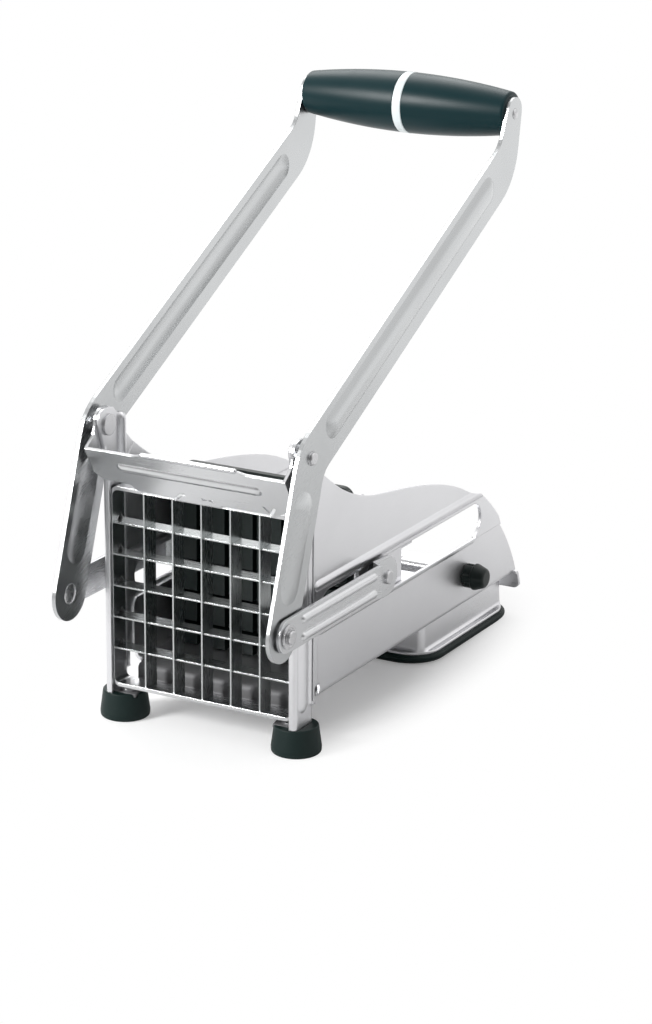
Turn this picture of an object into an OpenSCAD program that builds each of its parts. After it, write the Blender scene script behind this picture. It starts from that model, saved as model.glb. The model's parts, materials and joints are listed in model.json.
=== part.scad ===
// Lever-driven french fry cutter on a suction foot. A bent sheet body carries a lift-out
// blade insert. A two-armed lever pulls links that slide a toothed pusher towards the
// blades, and a knob with a cam lifts the middle of the suction pad.
// The origin is the centre of the suction pad's underside. +X is the knob's side,
// +Y points to the back and +Z up. Distances along Y in the values below are counted
// from the blades' front edge, and heights from the table.

/* [Sheet body] */
// Outer width of the body across its front strips
body_w = 80; // [79:0.5:90]
// Thickness of the body sheet
sheet_t = 1.2; // [1:0.1:1.4]
// Height of the floor's underside above the table
floor_z = 17.2; // [16.6:0.2:18.6]
// Distance from the blades to the floor's rear edge
floor_l = 176; // [175:1:180]
// Outside radius of the two long floor bends
bend_r = 2.5; // [2:0.1:3.5]
// Set-in of the upper side fields from the front strips
upper_in = 0.4; // [0.2:0.1:0.6]
// Set-in of the lower side fields from the upper ones
lower_in = 0.5; // [0.3:0.1:0.7]
// Height of the crease between the side fields
crease_z = 42.3; // [40:0.1:42.6]
// Width of the front strips, from the front face to the first side field
strip_w = 11.5; // [11.5:0.1:12.3]
// Height of the slide slots' centre line
slot_z = 50.1; // [49.5:0.1:51]
// Height of the slide slots
slot_h = 13.5; // [12.5:0.1:13.9]
// Rear end of the slide slots
slot_end = 143.5; // [136:0.5:144.5]
// Depth of the rear lip below the floor's underside
lip_h = 7.1; // [5:0.1:9]

/* [Front bar] */
// Thickness of the front bar's sheet
bar_t = 1.1; // [0.8:0.1:1.3]
// Forward lean of the front bar
bar_lean = 31; // [26:1:34]
// Length of the front bar's face up the slope
bar_h = 19.8; // [17:0.2:20.6]

/* [Blade insert] */
// Pitch of the blades, which is the width of a fry
pitch = 12; // [9:0.5:13]
// Thickness of a blade
blade_t = 0.6; // [0.5:0.1:1]
// Depth of the insert along the cut
insert_d = 8; // [7:0.2:8.4]
// Height of the insert
insert_h = 76.6; // [75:0.2:76.8]
// Thickness of the insert's top and bottom bars
insert_bar = 1.4; // [1:0.1:2]
// Thickness of the insert's side walls
insert_wall = 0.6; // [0.5:0.1:1]

/* [Pusher] */
// Length of the pusher's teeth
tooth_l = 7.5; // [5:0.5:7.5]
// Gap between a tooth and the blades beside it
tooth_gap = 0.6; // [0.4:0.1:1.2]
// Thickness of the pusher's face behind the teeth
face_t = 2.5; // [2.2:0.1:3.5]
// Radius of the pusher's axle
axle_r = 3; // [2.5:0.1:3.4]

/* [Lever and links] */
// Height of the lever's pivot
pivot_z = 111.8; // [111.4:0.1:112.4]
// Distance from the pivot to the links' front joints
crank_l = 62.1; // [60:0.1:63]
// Slope of the arms' lower part
crank_a = 71.4; // [70:0.2:73]
// Length of the links between their joints
link_l = 80.9; // [80:0.1:82]
// Distance of the grip behind the pivot
grip_back = 154.1; // [140:0.5:156]
// Height of the grip above the pivot
grip_up = 94.8; // [92:0.2:97]
// Slope of the arms' long part
arm_a = 27.4; // [26:0.2:28]
// Width of the arms' long part
arm_w = 19.1; // [17:0.1:19.6]
// Thickness of the arms
arm_t = 1.5; // [1.2:0.1:1.8]
// Thickness of the links
link_t = 1.2; // [1:0.1:1.5]
// Radius of the pivot and joint rivets
rivet_r = 2.5; // [2:0.1:2.8]
// Largest diameter of the grip
grip_d = 23.2; // [18:0.2:24]
// Diameter of the grip's ends
grip_end_d = 16.2; // [13:0.2:17]
// Width of the ring in the middle of the grip
ring_w = 3.8; // [2:0.2:6]

/* [Feet] */
// Height of the front feet
foot_h = 10.4; // [9.6:0.1:10.6]
// Radius of a front foot at its bottom
foot_r = 9.3; // [8.8:0.1:10]
// Draft of a front foot's side, as the difference of its radii
foot_draft = 1.2; // [0.5:0.1:1.3]

/* [Suction foot] */
// Width and length of the suction housing
housing_w = 68.8; // [66:0.2:69]
// Width and length of the housing's rim
rim_w = 74.4; // [73:0.2:75.6]
// Width and length of the rubber pad
pad_w = 74; // [72:0.2:75.5]
// Thickness of the rubber pad
pad_h = 3.6; // [3.2:0.1:4]
// Radius of the knob's body
knob_r = 5.6; // [5.4:0.1:6]
// Radius of the cam shaft
shaft_r = 2.7; // [2.3:0.1:2.9]
// Lift of the suction pad
pad_lift = 3; // [2:0.1:3.4]

/* [Fits] */
// Radial clearance of pins and shafts in their bores
pin_fit = 0.05; // [0.03:0.01:0.08]
// Clearance between flat faces that slide on each other
play = 0.05; // [0.03:0.01:0.08]
// Clearance around pieces that pass each other
gap = 0.3; // [0.2:0.05:0.35]

/* [Hidden] */
$fn = 64;

steel = "silver";
polished = "gainsboro";
black = "#1c1f20";
slate = "#26363a";

// Degrees between the points of a rounded corner
arc_step = 7.5;
// More than the reach of anything that a cut goes through
through = 200;

// Widths across the sheet body, from its middle
strip_x = body_w / 2;
upper_x = strip_x - upper_in;
lower_x = upper_x - lower_in;
bar_x = strip_x + play + bar_t;
fold_w = 2.8;

// Depths and heights along the sheet body
pad_y = 140;
strip_y0 = -2.2;
strip_y = strip_y0 + strip_w;
leg_y = strip_y + 0.9;
fold_top = 93;
fold_end = 104;
floor_top = floor_z + sheet_t;
shelf_z = 12.9;
shelf_x = 34;
shelf_y = [3, 12];
crease_y = 14.5;
crease_r = 4;
slot_y0 = 16;
slot_r = slot_h / 2;
notch_y = [12.3, 17];
notch_z = [16, 22.7];
tab_x0 = 29;
tab_y = [0.6, 8.9];

// Pressed beads: width, then height
strip_bead = [7, 1.1];
ridge_bead = [4.1, 0.9];
slot_lip = [5, 1.5];
arm_bead = [10.8, 1.4];
crank_bead = [12.4, 1.2];
link_rib = [3.2, 1.2];
bar_rib = [4.4, 1];

// Lever joints at rest
function dir(a) = [cos(a), sin(a)];
pivot = [0.5, pivot_z];
crank = pivot - crank_l * dir(crank_a);
axle = crank + [sqrt(pow(link_l, 2) - pow(crank.y - slot_z, 2)), slot_z - crank.y];
grip = pivot + [grip_back, grip_up];

// Stack of pieces along X at the joints, outwards from the body
spacer_l = 3.2;
spacer_r = 4.5;
washer_t = 0.8;
washer_r = 4.4;
head_t = 0.9;
button_h = 1.2;
arm_x = strip_x + spacer_l;
arm_out = arm_x + arm_t;
link_x = arm_out + washer_t;
link_out = link_x + link_t;
axle_x = strip_x + 1;
link_rear_x = axle_x + gap;

// Blade insert
insert_y = [-0.6, insert_d - 0.6];
insert_x = strip_x - sheet_t - head_t - gap;
insert_in = insert_x - insert_wall;
insert_z1 = shelf_z + insert_h;
grid_z = shelf_z + insert_h / 2;
grid_half = insert_h / 2 - insert_bar;
columns = floor(2 * insert_in / pitch);
rows = floor(2 * grid_half / pitch);
blade_y = [0, insert_y[1]];
lap_y = blade_y[1] / 2;
prong_y = [2, 5.4];
slit = 0.05;

// Inward beads of the front strips that guide the insert from behind
guide_r = 1.9;
guide_y = insert_y[1] + 2 * play + sqrt(pow(guide_r, 2) - pow(guide_r - insert_wall, 2));
guide_groove = 0.6;
insert_r = 3;
mark = [2.8, 6.6, 2.4];

// Pusher
face_y = axle.x - 16.5;
face_x = strip_x - 4;
face_z = [floor_top + 0.5, insert_z1 - 2.2];
face_r = 4.5;
frame_z = [face_z[0] + 0.3, face_z[1] - 3.3];
flange_z = [35.5, 61];
tooth_w = pitch - blade_t - 2 * tooth_gap;
plate_y = face_y + face_t;
flange_x = face_x + sheet_t;
flange_y = axle.x + 20.5;
bush_r = slot_r - 0.1;
bush_x = strip_x + 0.6;
face_pins = [[-24, 33], [24, 33], [-24, 69], [24, 69]];
face_pin_r = 1.5;

// Arms and grip
crank_front = 9.6;
crank_rear = 10.4;
arm_front = arm_w / 2 - 0.65;
arm_rear = arm_w / 2 + 0.65;
top_r = 5.7;
top_front_a = 66;
top_rear_a = 80;
rod_r = 3;
tenon_r = 1.5;

// Suction foot and its cam
rim_t = 1.2;
rim_r = 14;
pad_lip = 3.6;
pad_lip_z = 1.2;
housing_z = pad_h + rim_t;
housing_r = 9;
housing_pins = [[-22, -25], [22, -25], [-22, 25], [22, 25]];
housing_pin_r = 1.5;
knob_at = [132.2, floor_z + 12.2];
knob_l = 8.6;
flute_l = 5.2;
cam_r = 4.2;
cam_turn = 120;
cam_x = [3.2, 7.2];
cam_gap = 0.6;
stem_r = 2.5;
stem_hole_r = 3.5;
yoke_z = knob_at.y + cam_r + cam_gap;
yoke_t = 2;
nut_t = 3;
disc_r = 11.5;
disc_t = 1.4;
disc_z = pad_h - disc_t - gap;
spring_r = 6;
wire_r = 0.7;
foot_at = [36.2, 5.2];
foot_pin_x = 34;
foot_pin_r = 2;

// ---- Plane geometry ----

function side(a) = [-sin(a), cos(a)];
function unit(v) = v / norm(v);
function xy(p) = [p.x, p.y];

// Crossing of the line through p at angle a with the line through q at angle b
function meet(p, a, q, b) = p + dir(a) * cross(q - p, dir(b)) / cross(dir(a), dir(b));

// Points of the arc of radius r that rounds the corner b between a and c
function fillet(a, b, c, r) =
    r <= 0 ? [b] :
    let (u = unit(a - b), v = unit(c - b),
         half = acos(u * v) / 2,
         mid = b + unit(u + v) * r / sin(half),
         from = b + u * r / tan(half) - mid,
         to = b + v * r / tan(half) - mid,
         a0 = atan2(from.y, from.x),
         swing = atan2(to.y, to.x) - a0,
         turn = swing > 180 ? swing - 360 : swing < -180 ? swing + 360 : swing,
         n = max(2, ceil(abs(turn) / arc_step)))
    [for (i = [0 : n]) mid + r * dir(a0 + turn * i / n)];

// Closed outline from corners given as [x, y, radius]
function rounded(c) =
    let (n = len(c))
    [for (i = [0 : n - 1])
        each fillet(xy(c[(i + n - 1) % n]), xy(c[i]), xy(c[(i + 1) % n]), c[i].z)];

// Corners of the rectangle from p to q, all with one radius
function box_corners(p, q, r) = [[p.x, p.y, r], [q.x, p.y, r], [q.x, q.y, r], [p.x, q.y, r]];

// Points of a cubic curve without its last point
function curve(a, b, c, d, n = 10) =
    [for (i = [0 : n - 1])
        let (t = i / n, s = 1 - t)
        a * s * s * s + b * 3 * s * s * t + c * 3 * s * t * t + d * t * t * t];

// Direction of segment i of a path
function heading(p, i) =
    let (k = min(max(i, 0), len(p) - 2))
    unit(xy(p[k + 1]) - xy(p[k]));

// Corner i of a path, moved by t to the path's left
function beside(p, i, t) =
    let (u = heading(p, i - 1), v = heading(p, i), a = [-u.y, u.x], b = [-v.y, v.x])
    xy(p[i]) + t * (a + b) / (1 + a * b);

// Cross-section of a bent sheet of thickness t. The path [x, y, inside radius] runs along
// one face, and the sheet lies to the left of it.
function bent(p, t) =
    let (n = len(p) - 1,
         far = [for (i = [0 : n]) beside(p, i, t)],
         left = [for (i = [0 : n]) cross(heading(p, i - 1), heading(p, i)) > 0])
    concat(
        [xy(p[0])],
        [for (i = [1 : 1 : n - 1])
            each fillet(xy(p[i - 1]), xy(p[i]), xy(p[i + 1]), p[i].z + (left[i] ? t : 0))],
        [xy(p[n]), far[n]],
        [for (i = [n - 1 : -1 : 1])
            each fillet(far[i + 1], far[i], far[i - 1], p[i].z + (left[i] ? 0 : t))],
        [far[0]]);

function swapped(p) = [for (q = p) [q.y, q.x]];

// ---- Placing and repeated forms ----

// Moves the origin from the blades' front edge to the suction pad
module stand() {
    translate([0, -pad_y, 0]) children();
}

// Extrudes a side view (y, z) from X = x0 to x1
module along_x(x0, x1) {
    translate([x0, 0, 0]) rotate([90, 0, 90]) linear_extrude(x1 - x0) children();
}

// Extrudes a front view (x, z) from Y = y0 to y1
module along_y(y0, y1) {
    translate([0, y1, 0]) rotate([90, 0, 0]) linear_extrude(y1 - y0) children();
}

// Extrudes a plan view (x, y) from Z = z0 to z1
module along_z(z0, z1) {
    translate([0, 0, z0]) linear_extrude(z1 - z0) children();
}

// Puts a plate drawn flat, with its outer face at height 0, into the plane X = x
module at_x(x) {
    translate([x, 0, 0]) rotate([90, 0, 90]) children();
}

// Rivet head with a rounded edge that grows outwards from the plane X = x
module button_x(at, r, h, x) {
    translate([x, at.x, at.y]) rotate([0, 90, 0]) rotate_extrude()
        polygon(rounded([[0, 0, 0], [r, 0, 0], [r, h, 0.5], [0, h, 0]]));
}

module both_sides() {
    children();
    mirror([1, 0, 0]) children();
}

// Cylinder along X at (y, z)
module pin_x(at, r, x0, x1) {
    translate([x0, at.x, at.y]) rotate([0, 90, 0]) cylinder(r = r, h = x1 - x0);
}

// Domed rivet head of radius r and height h that grows along +Z
module dome(r, h) {
    ball = (r * r + h * h) / (2 * h);
    rotate_extrude() intersection() {
        translate([0, h - ball]) circle(ball, $fn = 128);
        square([r, h]);
    }
}

// Domed head that grows outwards from the plane X = x
module dome_x(at, r, h, x) {
    translate([x, at.x, at.y]) rotate([0, 90, 0]) dome(r, h);
}

// Round bar with ball ends, along +X from the origin
module capsule(l, r) {
    rotate([0, 90, 0]) rotate_extrude() intersection() {
        union() {
            circle(r);
            translate([0, l]) circle(r);
            translate([-r, 0]) square([2 * r, l]);
        }
        translate([0, -r]) square([r, l + 2 * r]);
    }
}

// Capsule under a pressed bead from a to b. The bead is size[0] wide and size[1] high.
module bead_core(a, b, size, inset) {
    w = size[0];
    h = size[1];
    r = (w * w / 4 + h * h) / (2 * h);
    run = b - a;
    translate([a.x, a.y, h - r]) rotate([0, 0, atan2(run.y, run.x)])
        capsule(norm(run), r - inset);
}

// Raised side of a pressed bead on the face at height 0 of a sheet of thickness t
module bead(a, b, size, t) {
    intersection() {
        bead_core(a, b, size, 0);
        translate([-through, -through, -t / 2])
            cube([2 * through, 2 * through, t / 2 + size[1]]);
    }
}

// Round-ended outline from a to b, which lie on one horizontal line
module slot_2d(a, b, r) {
    translate(a) circle(r);
    translate(b) circle(r);
    translate([a.x, a.y - r]) square([b.x - a.x, 2 * r]);
}

// Square outline with rounded corners, centred on the suction foot
module foot_square(w, r) {
    translate([0, pad_y]) polygon(rounded(box_corners([-w / 2, -w / 2], [w / 2, w / 2], r)));
}

// ---- Sheet body ----

hump = [127.2, 65.6];
shoulder = [141, 60.3];
step = [162.2, crease_z + 0.2];
waist = [54.9, 82.9];
tail = [floor_l + 0.7, floor_z];

// Corners of the lug around the lever's pivot, from the front edge to the start of the waist
lug_r = 6.2;
lug = [
    [strip_y0, pivot.y - 8.3, 4], [pivot.x - lug_r, pivot.y + 1.6, 3],
    [pivot.x - lug_r, pivot.y + lug_r, 3.8], [pivot.x + 3, pivot.y + lug_r, 3.6],
    [pivot.x + 6, pivot.y + 2.8, 2], [pivot.x + 10.3, pivot.y + 2.6, 2],
    [pivot.x + 10.8, pivot.y - 5.3, 3], [pivot.x + 16.1, pivot.y - 10.3, 4]];
lug_end = [17.2, 101];

// Outline of a side wall seen from the side: front edge, lug, waist, hump and tail
function wall_outline() =
    let (c = concat([[strip_y0, foot_h, 0]], lug, [[lug_end.x, lug_end.y, 0]]))
    concat(
        [[strip_y0, foot_h]],
        [for (i = [1 : len(lug)]) each fillet(xy(c[i - 1]), xy(c[i]), xy(c[i + 1]), c[i].z)],
        curve(lug_end, lug_end + [8, -5.6], waist + [-19, 4.1], waist),
        curve(waist, waist + [15.1, -2.9], [105, 76.5], hump),
        curve(hump, hump + [4.6, -2.3], shoulder + [-5, 0.8], shoulder, 5),
        curve(shoulder, shoulder + [7, -3.3], step + [-6, 7], step, 6),
        curve(step - [0.9, 0.9], step + [5.8, -8], tail + [-1.6, 6], tail, 6),
        [tail, tail - [0, 1], [leg_y, floor_z - 1], [leg_y, foot_h]]);

// Part of the wall outline that lies in the plane of the front strips
function strip_region() = [
    [-through, fold_top], [strip_y, fold_top], [strip_y + 12, fold_top + 14],
    [strip_y + 12, through], [-through, through]];

function upper_region() = rounded([
    [strip_y, 0, 0], [crease_y, 0, 0], [crease_y, crease_z, crease_r], [through, crease_z, 0],
    [through, fold_top + 14, 0], [strip_y + 12, fold_top + 14, 0], [strip_y, fold_top, 0]]);

function lower_region() = rounded([
    [crease_y, 0, 0], [crease_y, crease_z, crease_r], [through, crease_z, 0],
    [through, 0, 0]]);

// Side wall with its half of the floor
module side_wall() {
    difference() {
        intersection() {
            union() {
                front_strip();
                along_x(upper_x - sheet_t, upper_x) polygon(upper_region());
                lower_field();
                wall_beads();
            }
            along_x(-1, strip_x + 5) polygon(wall_outline());
        }
        wall_hollows();
        along_x(shelf_x + 1, strip_x + 5) {
            slot_2d([slot_y0 + slot_r, slot_z], [slot_end - slot_r, slot_z], slot_r);
            polygon(rounded(box_corners([notch_y[0], notch_z[0]], [notch_y[1], notch_z[1]], 1.2)));
            translate(pivot) circle(rivet_r + pin_fit);
            translate(knob_at) circle(shaft_r + pin_fit);
        }
    }
}

// Front strip with its inward fold, which runs out below the lug
module front_strip() {
    along_z(foot_h, fold_top) polygon(bent([
        [strip_x - fold_w, strip_y0, 0], [strip_x, strip_y0, 0.3], [strip_x, strip_y, 0]],
        sheet_t));
    along_y(strip_y0, strip_y0 + sheet_t) polygon([
        [strip_x - fold_w, fold_top - 1], [strip_x, fold_top - 1],
        [strip_x, fold_end], [strip_x - sheet_t, fold_end]]);
    along_x(strip_x - sheet_t, strip_x) polygon(strip_region());
}

// Lower side field that turns into the floor
module lower_field() {
    intersection() {
        along_y(crease_y, tail.x) polygon(bent([
            [-1, floor_z, 0], [lower_x, floor_z, bend_r - sheet_t], [lower_x, crease_z, 0]],
            sheet_t));
        along_x(-1, strip_x) polygon(lower_region());
    }
}

strip_bead_z = [19.4, 85.5];
strip_bead_y = 3.2;
guide_z = [18.5, pivot.y + 0.7];
ridge_z = slot_z + slot_r + 3.3;
lip_z = slot_z - slot_r;

module wall_beads() {
    at_x(strip_x) bead([strip_bead_y, strip_bead_z[0]], [strip_bead_y, strip_bead_z[1]],
                       strip_bead, sheet_t);
    at_x(upper_x) bead([slot_y0 - 2, ridge_z], [floor_l - 20, ridge_z], ridge_bead, sheet_t);
    at_x(lower_x) bead([slot_y0 + 2, lip_z], [slot_end - slot_r, lip_z], slot_lip, sheet_t);
    guide_bead(guide_r);
}

module wall_hollows() {
    at_x(strip_x)
        bead_core([strip_bead_y, strip_bead_z[0]], [strip_bead_y, strip_bead_z[1]],
                  strip_bead, sheet_t);
    at_x(upper_x)
        bead_core([slot_y0 - 2, ridge_z], [floor_l - 20, ridge_z], ridge_bead, sheet_t);
    at_x(lower_x)
        bead_core([slot_y0 + 2, lip_z], [slot_end - slot_r, lip_z], slot_lip, sheet_t);
    guide_bead(guide_groove);
    translate([insert_in + guide_r, guide_y - guide_groove, guide_z[0]])
        cube([guide_r * 2, 2 * guide_groove, guide_z[1] - guide_z[0]]);
}

module guide_bead(r) {
    translate([insert_in + guide_r, guide_y, guide_z[0]]) rotate([0, -90, 0])
        capsule(guide_z[1] - guide_z[0], r);
}

// Step down from the floor to the shelf under the blade insert
module insert_shelf() {
    along_x(-shelf_x, shelf_x) polygon(bent([
        [shelf_y[0], shelf_z - sheet_t, 0], [shelf_y[1], shelf_z - sheet_t, 0.6],
        [shelf_y[1], floor_z, 0.6], [notch_y[1] + 1, floor_z, 0]], sheet_t));
}

module rear_lip() {
    intersection() {
        along_x(-strip_x, strip_x) polygon(bent([
            [floor_l - sheet_t, floor_z, 0], [floor_l, floor_z, 0.6],
            [floor_l + 0.38 * lip_h, floor_z - lip_h, 0]], sheet_t));
        along_y(floor_l - 5, floor_l + 20) polygon(rounded([
            [-strip_x, floor_z - lip_h, 3], [strip_x, floor_z - lip_h, 3],
            [strip_x, floor_z + 5, 0], [-strip_x, floor_z + 5, 0]]));
    }
}

// Tab under a front strip that lies in the foot's recess
module foot_tab() {
    along_y(tab_y[0], tab_y[1]) polygon(bent([
        [tab_x0, foot_h - sheet_t, 0], [strip_x, foot_h - sheet_t, 0.4],
        [strip_x, foot_h + 2, 0]], sheet_t));
}

module floor_holes() {
    translate([0, pad_y, floor_z - 1]) cylinder(r = stem_hole_r, h = sheet_t + 2);
    for (p = housing_pins)
        translate([p.x, pad_y + p.y, floor_z - 1])
            cylinder(r = housing_pin_r + pin_fit, h = sheet_t + 2);
    both_sides()
        translate([foot_pin_x, foot_at.y, 0]) cylinder(r = foot_pin_r + pin_fit, h = foot_h + 1);
}

module body_shell() {
    color(steel) stand() difference() {
        union() {
            both_sides() side_wall();
            insert_shelf();
            rear_lip();
            both_sides() foot_tab();
        }
        floor_holes();
    }
}

// ---- Front bar ----

bar_at = [insert_y[0] - gap - 0.05, insert_z1 - 0.2];

// Drawn flat as (x, height up the slope), then leaned forward
module lean() {
    translate([0, bar_at.x, bar_at.y]) rotate([90 + bar_lean, 0, 0]) children();
}

bar_low = 7.8;
bar_lip = [-17, 21];
lip_up = 1.2;
bar_rib_v = 12.6;
ear_r = 6.6;

module bar_face() {
    top = bar_h + lip_up;
    polygon(rounded([
        [31, 0, 0], [38, 4.3, 2], [bar_x, bar_low, 0], [bar_x, bar_h, 0],
        [bar_lip[1] + 4, bar_h, 5], [bar_lip[1], top, 5], [bar_lip[0], top, 5],
        [bar_lip[0] - 4, bar_h, 5], [-bar_x, bar_h, 0], [-bar_x, bar_low, 0], [-38, 4.6, 2],
        [-26.6, 4.2, 1], [-23.6, 0, 0.6]]));
}

// Relief slits above the bar's bottom edge and the small pointed lances between them
module bar_cuts() {
    polygon([[-31, 0.4], [-9.2, 0.1], [-8.6, 0.3], [-5.6, 3.2], [-4.4, 3.3], [-4.6, 4.4],
             [-6.1, 4.2], [-9.4, 1.1], [-31, 1.9]]);
    polygon([[10, 0.2], [30, 0.2], [30.6, 0.6], [33.1, 4.6], [32.1, 5.1], [29.6, 1.2], [10, 1.2]]);
    polygon([[27.6, 4.9], [28.5, 4.9], [30.2, 2.4], [29.5, 1.9]]);
    for (m = [-1, 1]) translate([4.8, 2.9])
        polygon([[m * 2.4, -0.8], [m * 2.4, 0.8], [m * 0.3, 0.15], [m * 0.3, -0.15]]);
}

// Ears outside the front strips, which hang the bar on the lever's pivots
module bar_ears() {
    foot = [-sin(bar_lean), cos(bar_lean)];
    face = [cos(bar_lean), sin(bar_lean)] * bar_t;
    low = bar_at + bar_low * foot - face;
    high = bar_at + bar_h * foot - face;
    both_sides() along_x(strip_x + play, bar_x) difference() {
        polygon(rounded([
            [low.x, low.y, 0.5], [high.x, high.y, 0.6],
            [pivot.x - 7.5, pivot.y - 2.2, 3], [pivot.x - ear_r, pivot.y + 1, 2],
            [pivot.x - ear_r, pivot.y + ear_r, ear_r - 1.8],
            [pivot.x + ear_r, pivot.y + ear_r, ear_r - 0.1],
            [pivot.x + ear_r, pivot.y - 6, 4], [pivot.x + 4, pivot.y - 16.3, 3],
            [pivot.x - 2, pivot.y - 18.3, 1]]));
        translate(pivot) circle(rivet_r + pin_fit);
    }
}

module front_bar() {
    rib = [[-27.5, bar_rib_v], [27.5, bar_rib_v]];
    color(polished) stand() {
        lean() difference() {
            union() {
                linear_extrude(bar_t) bar_face();
                translate([0, 0, bar_t]) bead(rib[0], rib[1], bar_rib, bar_t);
                translate([bar_lip[0], bar_h + lip_up - 0.2, bar_t / 2])
                    capsule(bar_lip[1] - bar_lip[0], 0.9);
            }
            translate([0, 0, bar_t]) bead_core(rib[0], rib[1], bar_rib, bar_t);
            translate([0, 0, -1]) linear_extrude(bar_t + 3) bar_cuts();
        }
        bar_ears();
    }
}

// ---- Pivots and feet ----

module pivot_rivets() {
    color(polished) stand() both_sides() {
        pin_x(pivot, rivet_r, strip_x - sheet_t, arm_out + play);
        pin_x(pivot, rivet_r + 1.4, strip_x - sheet_t - head_t, strip_x - sheet_t);
        button_x(pivot, rivet_r - 0.2, button_h, arm_out + play);
    }
}

module pivot_spacers() {
    color(steel) stand() both_sides() difference() {
        pin_x(pivot, spacer_r, bar_x + play, arm_x - play);
        pin_x(pivot, rivet_r + pin_fit, strip_x - 1, arm_x + 1);
    }
}

module front_feet() {
    color(black) stand() both_sides() difference() {
        translate([foot_at.x, foot_at.y, 0]) rotate_extrude() polygon(rounded([
            [0, 0, 0], [foot_r - 0.2, 0, 1], [foot_r - 0.1, 2.2, 0.8],
            [foot_r - foot_draft, foot_h, 0.5], [0, foot_h, 0]]));
        translate([tab_x0 - gap, tab_y[0] - gap, foot_h - sheet_t - play])
            cube([strip_x - tab_x0 + 2 * gap, tab_y[1] - tab_y[0] + 2 * gap, sheet_t + 1]);
        translate([foot_pin_x, foot_at.y, -1]) cylinder(r = foot_pin_r + 0.1, h = foot_h + 1);
        translate([foot_pin_x, foot_at.y, -1]) cylinder(r = foot_pin_r + 2.2, h = 6);
    }
}

module foot_rivets() {
    color(steel) stand() both_sides() translate([foot_pin_x, foot_at.y, 0]) {
        translate([0, 0, 4]) cylinder(r = foot_pin_r + 1.9, h = 1);
        translate([0, 0, 4]) cylinder(r = foot_pin_r, h = foot_h - 4);
        translate([0, 0, foot_h]) cylinder(r = foot_pin_r + 1.4, h = head_t);
    }
}

// ---- Suction foot ----

module suction_housing() {
    color(polished) stand() difference() {
        union() {
            along_z(housing_z, floor_z) foot_square(housing_w, housing_r);
            along_z(pad_h, housing_z) foot_square(rim_w, rim_r - 1.6);
        }
        along_z(pad_h - 1, floor_z - sheet_t)
            foot_square(housing_w - 2 * sheet_t, housing_r - sheet_t);
        translate([0, pad_y, 0]) cylinder(r = stem_hole_r, h = floor_z + 1);
        for (p = housing_pins)
            translate([p.x, pad_y + p.y, 0])
                cylinder(r = housing_pin_r + pin_fit, h = floor_z + 1);
    }
}

module suction_pad() {
    color(black) stand() difference() {
        union() {
            along_z(0, pad_h) foot_square(pad_w, rim_r - 1);
            along_z(pad_lip_z, pad_h) foot_square(pad_w + pad_lip, rim_r);
        }
        translate([0, pad_y, disc_z - gap]) cylinder(r = disc_r + gap, h = pad_h);
    }
}

module housing_rivets() {
    color(steel) stand() for (p = housing_pins)
        translate([p.x, pad_y + p.y, floor_top]) {
            dome(housing_pin_r + 1.5, head_t);
            translate([0, 0, -2 * sheet_t]) cylinder(r = housing_pin_r, h = 2 * sheet_t);
            translate([0, 0, -2 * sheet_t - head_t])
                cylinder(r = housing_pin_r + 1.1, h = head_t);
        }
}

// ---- Blade insert ----

// Places of the blades across a number of cells, from the middle
function blade_places(cells) = [for (i = [1 : cells - 1]) (i - cells / 2) * pitch];

module insert_frame() {
    color(polished) stand() difference() {
        along_y(insert_y[0], insert_y[1]) difference() {
            polygon(rounded(box_corners([-insert_x, shelf_z], [insert_x, insert_z1], insert_r)));
            polygon(rounded(box_corners([-insert_in, grid_z - grid_half],
                                        [insert_in, grid_z + grid_half], insert_r - insert_wall)));
        }
        for (x = blade_places(columns))
            translate([x - blade_t / 2 - slit, prong_y[0] - slit, shelf_z - 1])
                cube([blade_t + 2 * slit, prong_y[1] - prong_y[0] + 2 * slit, insert_h + 2]);
        for (z = blade_places(rows))
            translate([-insert_x - 1, prong_y[0] - slit, grid_z + z - blade_t / 2 - slit])
                cube([2 * insert_x + 2, prong_y[1] - prong_y[0] + 2 * slit,
                      blade_t + 2 * slit]);
        for (z = blade_places(rows))
            along_x(-insert_x - 1, insert_x + 1) translate([0, grid_z + z + blade_t / 2])
                polygon([[mark[0], 0], [mark[1], 0], [(mark[0] + mark[1]) / 2, mark[2]]]);
    }
}

// Upright blades, slotted from behind for the level ones
module vertical_blades() {
    color(polished) stand() for (x = blade_places(columns)) difference() {
        translate([x - blade_t / 2, 0, 0]) union() {
            translate([0, blade_y[0], grid_z - grid_half + slit])
                cube([blade_t, blade_y[1] - blade_y[0], 2 * (grid_half - slit)]);
            translate([0, prong_y[0], shelf_z])
                cube([blade_t, prong_y[1] - prong_y[0], insert_h]);
        }
        for (z = blade_places(rows))
            translate([x - 1, lap_y, grid_z + z - blade_t / 2 - slit])
                cube([2, blade_y[1], blade_t + 2 * slit]);
    }
}

// Level blades, slotted from the front for the upright ones
module horizontal_blades() {
    color(polished) stand() for (z = blade_places(rows)) difference() {
        translate([0, 0, grid_z + z - blade_t / 2]) union() {
            translate([-insert_in + slit, blade_y[0] + 0.8, 0])
                cube([2 * (insert_in - slit), blade_y[1] - blade_y[0] - 0.8, blade_t]);
            translate([-insert_x, prong_y[0], 0])
                cube([2 * insert_x, prong_y[1] - prong_y[0], blade_t]);
        }
        for (x = blade_places(columns))
            translate([x - blade_t / 2 - slit, -1, grid_z + z - 1])
                cube([blade_t + 2 * slit, lap_y + 1 + slit, 2]);
    }
}

// ---- Pusher ----

// Centres of the cells, from the middle
function cell_places(cells) = [for (i = [0 : cells - 1]) (i - (cells - 1) / 2) * pitch];

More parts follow.
